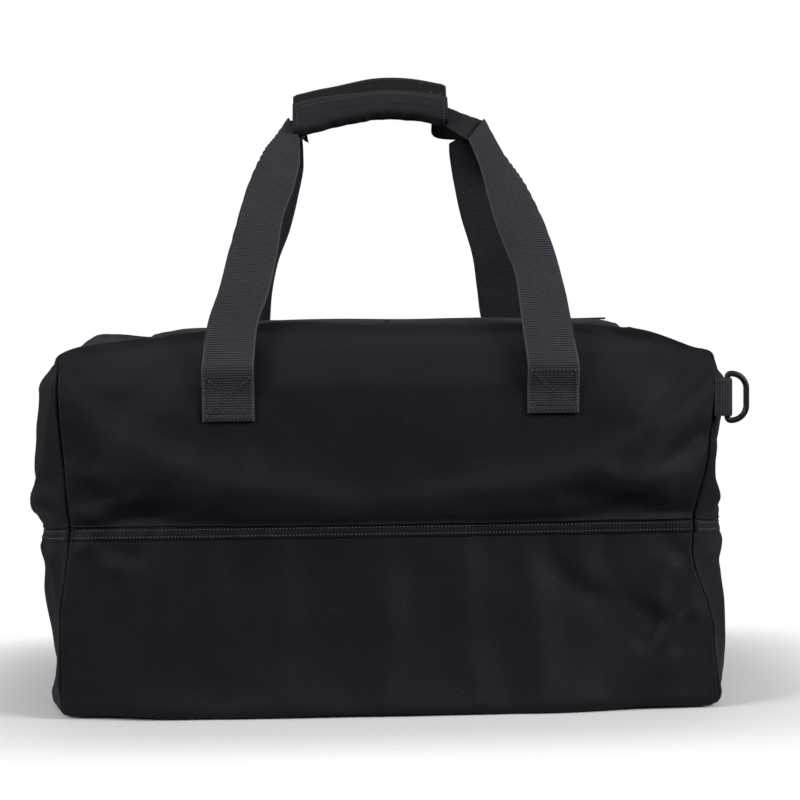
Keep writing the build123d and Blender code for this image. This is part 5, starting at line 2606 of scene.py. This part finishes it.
def wall_panels(form: BagForm) -> list[WallPanel]:
    """Plan the eight wall panels.

    Args:
        form: The body's form.

    Returns:
        The panels.
    """
    panels = []
    for number, side in enumerate(Side):
        for tier in Tier:
            panel = WallPanel(form, side, tier, FOLDS[side, tier], seed=11.0 + 7.0 * number)
            if tier is Tier.LOWER:  # drawn in under its band, and less full
                panel.waist_sink, panel.waist_round = 0.0010, 0.006
                panel.settling = Settling(growth=0.007)
            panels.append(panel)
    return panels


def leg_shapes(back: bool) -> tuple[LegShape, LegShape]:
    """Return both legs of a handle, left and right, as they bend up to the grip.

    Args:
        back: Whether it is the back handle.

    Returns:
        The legs' shapes.
    """
    if back:
        left = LegShape(
            -1,
            ((-0.138, 0.0), (-0.1325, 0.036), (-0.1278, 0.066), (-0.1222, 0.098), (-0.1112, 0.131),
             (-0.1022, 0.162), (-0.0935, 0.190), (-0.0835, 0.210), (-0.0740, 0.2240)),
            ((-0.100, 0.0), (-0.0958, 0.036), (-0.0930, 0.066), (-0.0868, 0.097), (-0.0765, 0.126),
             (-0.0685, 0.158), (-0.0635, 0.186), (-0.0635, 0.198), (-0.0640, 0.2080)),
            ((-0.0740, 0.2240), (-0.0640, 0.2110)), ((-0.0600, 0.2330), (-0.0600, 0.2200)),
        )
        right = LegShape(
            1,
            ((0.138, 0.0), (0.1245, 0.038), (0.1190, 0.072), (0.1140, 0.105), (0.1050, 0.139),
             (0.0950, 0.168), (0.0880, 0.192), (0.0830, 0.205), (0.0780, 0.2160)),
            ((0.100, 0.0), (0.0865, 0.038), (0.0815, 0.070), (0.0765, 0.102), (0.0660, 0.138),
             (0.0595, 0.168), (0.0560, 0.188), (0.0550, 0.196), (0.0548, 0.2030)),
            ((0.0760, 0.2220), (0.0640, 0.2095)), ((0.0400, 0.2395), (0.0400, 0.2290)),
        )
        return left, right
    left = LegShape(
        -1,
        ((-0.1365, 0.0), (-0.1330, 0.036), (-0.1250, 0.066), (-0.1172, 0.098), (-0.1097, 0.131),
         (-0.1030, 0.160), (-0.0922, 0.190), (-0.0825, 0.206), (-0.0735, 0.2215)),
        ((-0.0985, 0.0), (-0.0960, 0.036), (-0.0882, 0.064), (-0.0820, 0.098), (-0.0775, 0.131),
         (-0.0695, 0.158), (-0.0648, 0.184), (-0.0650, 0.196), (-0.0660, 0.2060)),
        ((-0.0735, 0.2215), (-0.0660, 0.2060)), ((-0.0600, 0.2310), (-0.0600, 0.2150)), 0.0015,
    )
    right = LegShape(
        1,
        ((0.1395, 0.0), (0.1352, 0.038), (0.1312, 0.068), (0.1250, 0.100), (0.1166, 0.130),
         (0.1068, 0.157), (0.0948, 0.181), (0.0865, 0.200), (0.0795, 0.2195)),
        ((0.1015, 0.0), (0.0990, 0.038), (0.0964, 0.078), (0.0900, 0.102), (0.0838, 0.125),
         (0.0793, 0.148), (0.0750, 0.172), (0.0710, 0.187), (0.0665, 0.2010)),
        ((0.0785, 0.2212), (0.0665, 0.2010)), ((0.0400, 0.2412), (0.0400, 0.2245)), 0.0015, 0.0030,
    )
    return left, right


def main() -> None:
    """Build and dress the bag, then the studio round it."""
    finishes = Finishes(Effects())
    form = BagForm()
    panels = wall_panels(form)
    BagBody(form, panels).build(finishes)
    TopDeck(form).build(finishes)
    folds = {joint["name"]: joint for joint in frame["joints"]}
    pivots = [Vector(folds[f"{end}_handle_fold"]["pos_m"]) for end in ("front", "back")]
    upper = {panel.side: panel for panel in panels if panel.tier is Tier.UPPER}
    front = Handle(False, upper[Side.FRONT], pivots[0], legs=leg_shapes(False))
    back = Handle(True, upper[Side.BACK], pivots[1], legs=leg_shapes(True))
    front.build(finishes)
    back.build(finishes)
    Grip(front).build(finishes)
    for node in ("front_ring_tab", "back_ring_tab"):
        RingTab(node).build(finishes)
    finish_carried_nodes(finishes)
    Studio().build()


if __name__ == "__main__":
    logging.basicConfig(level=logging.INFO)
    main()
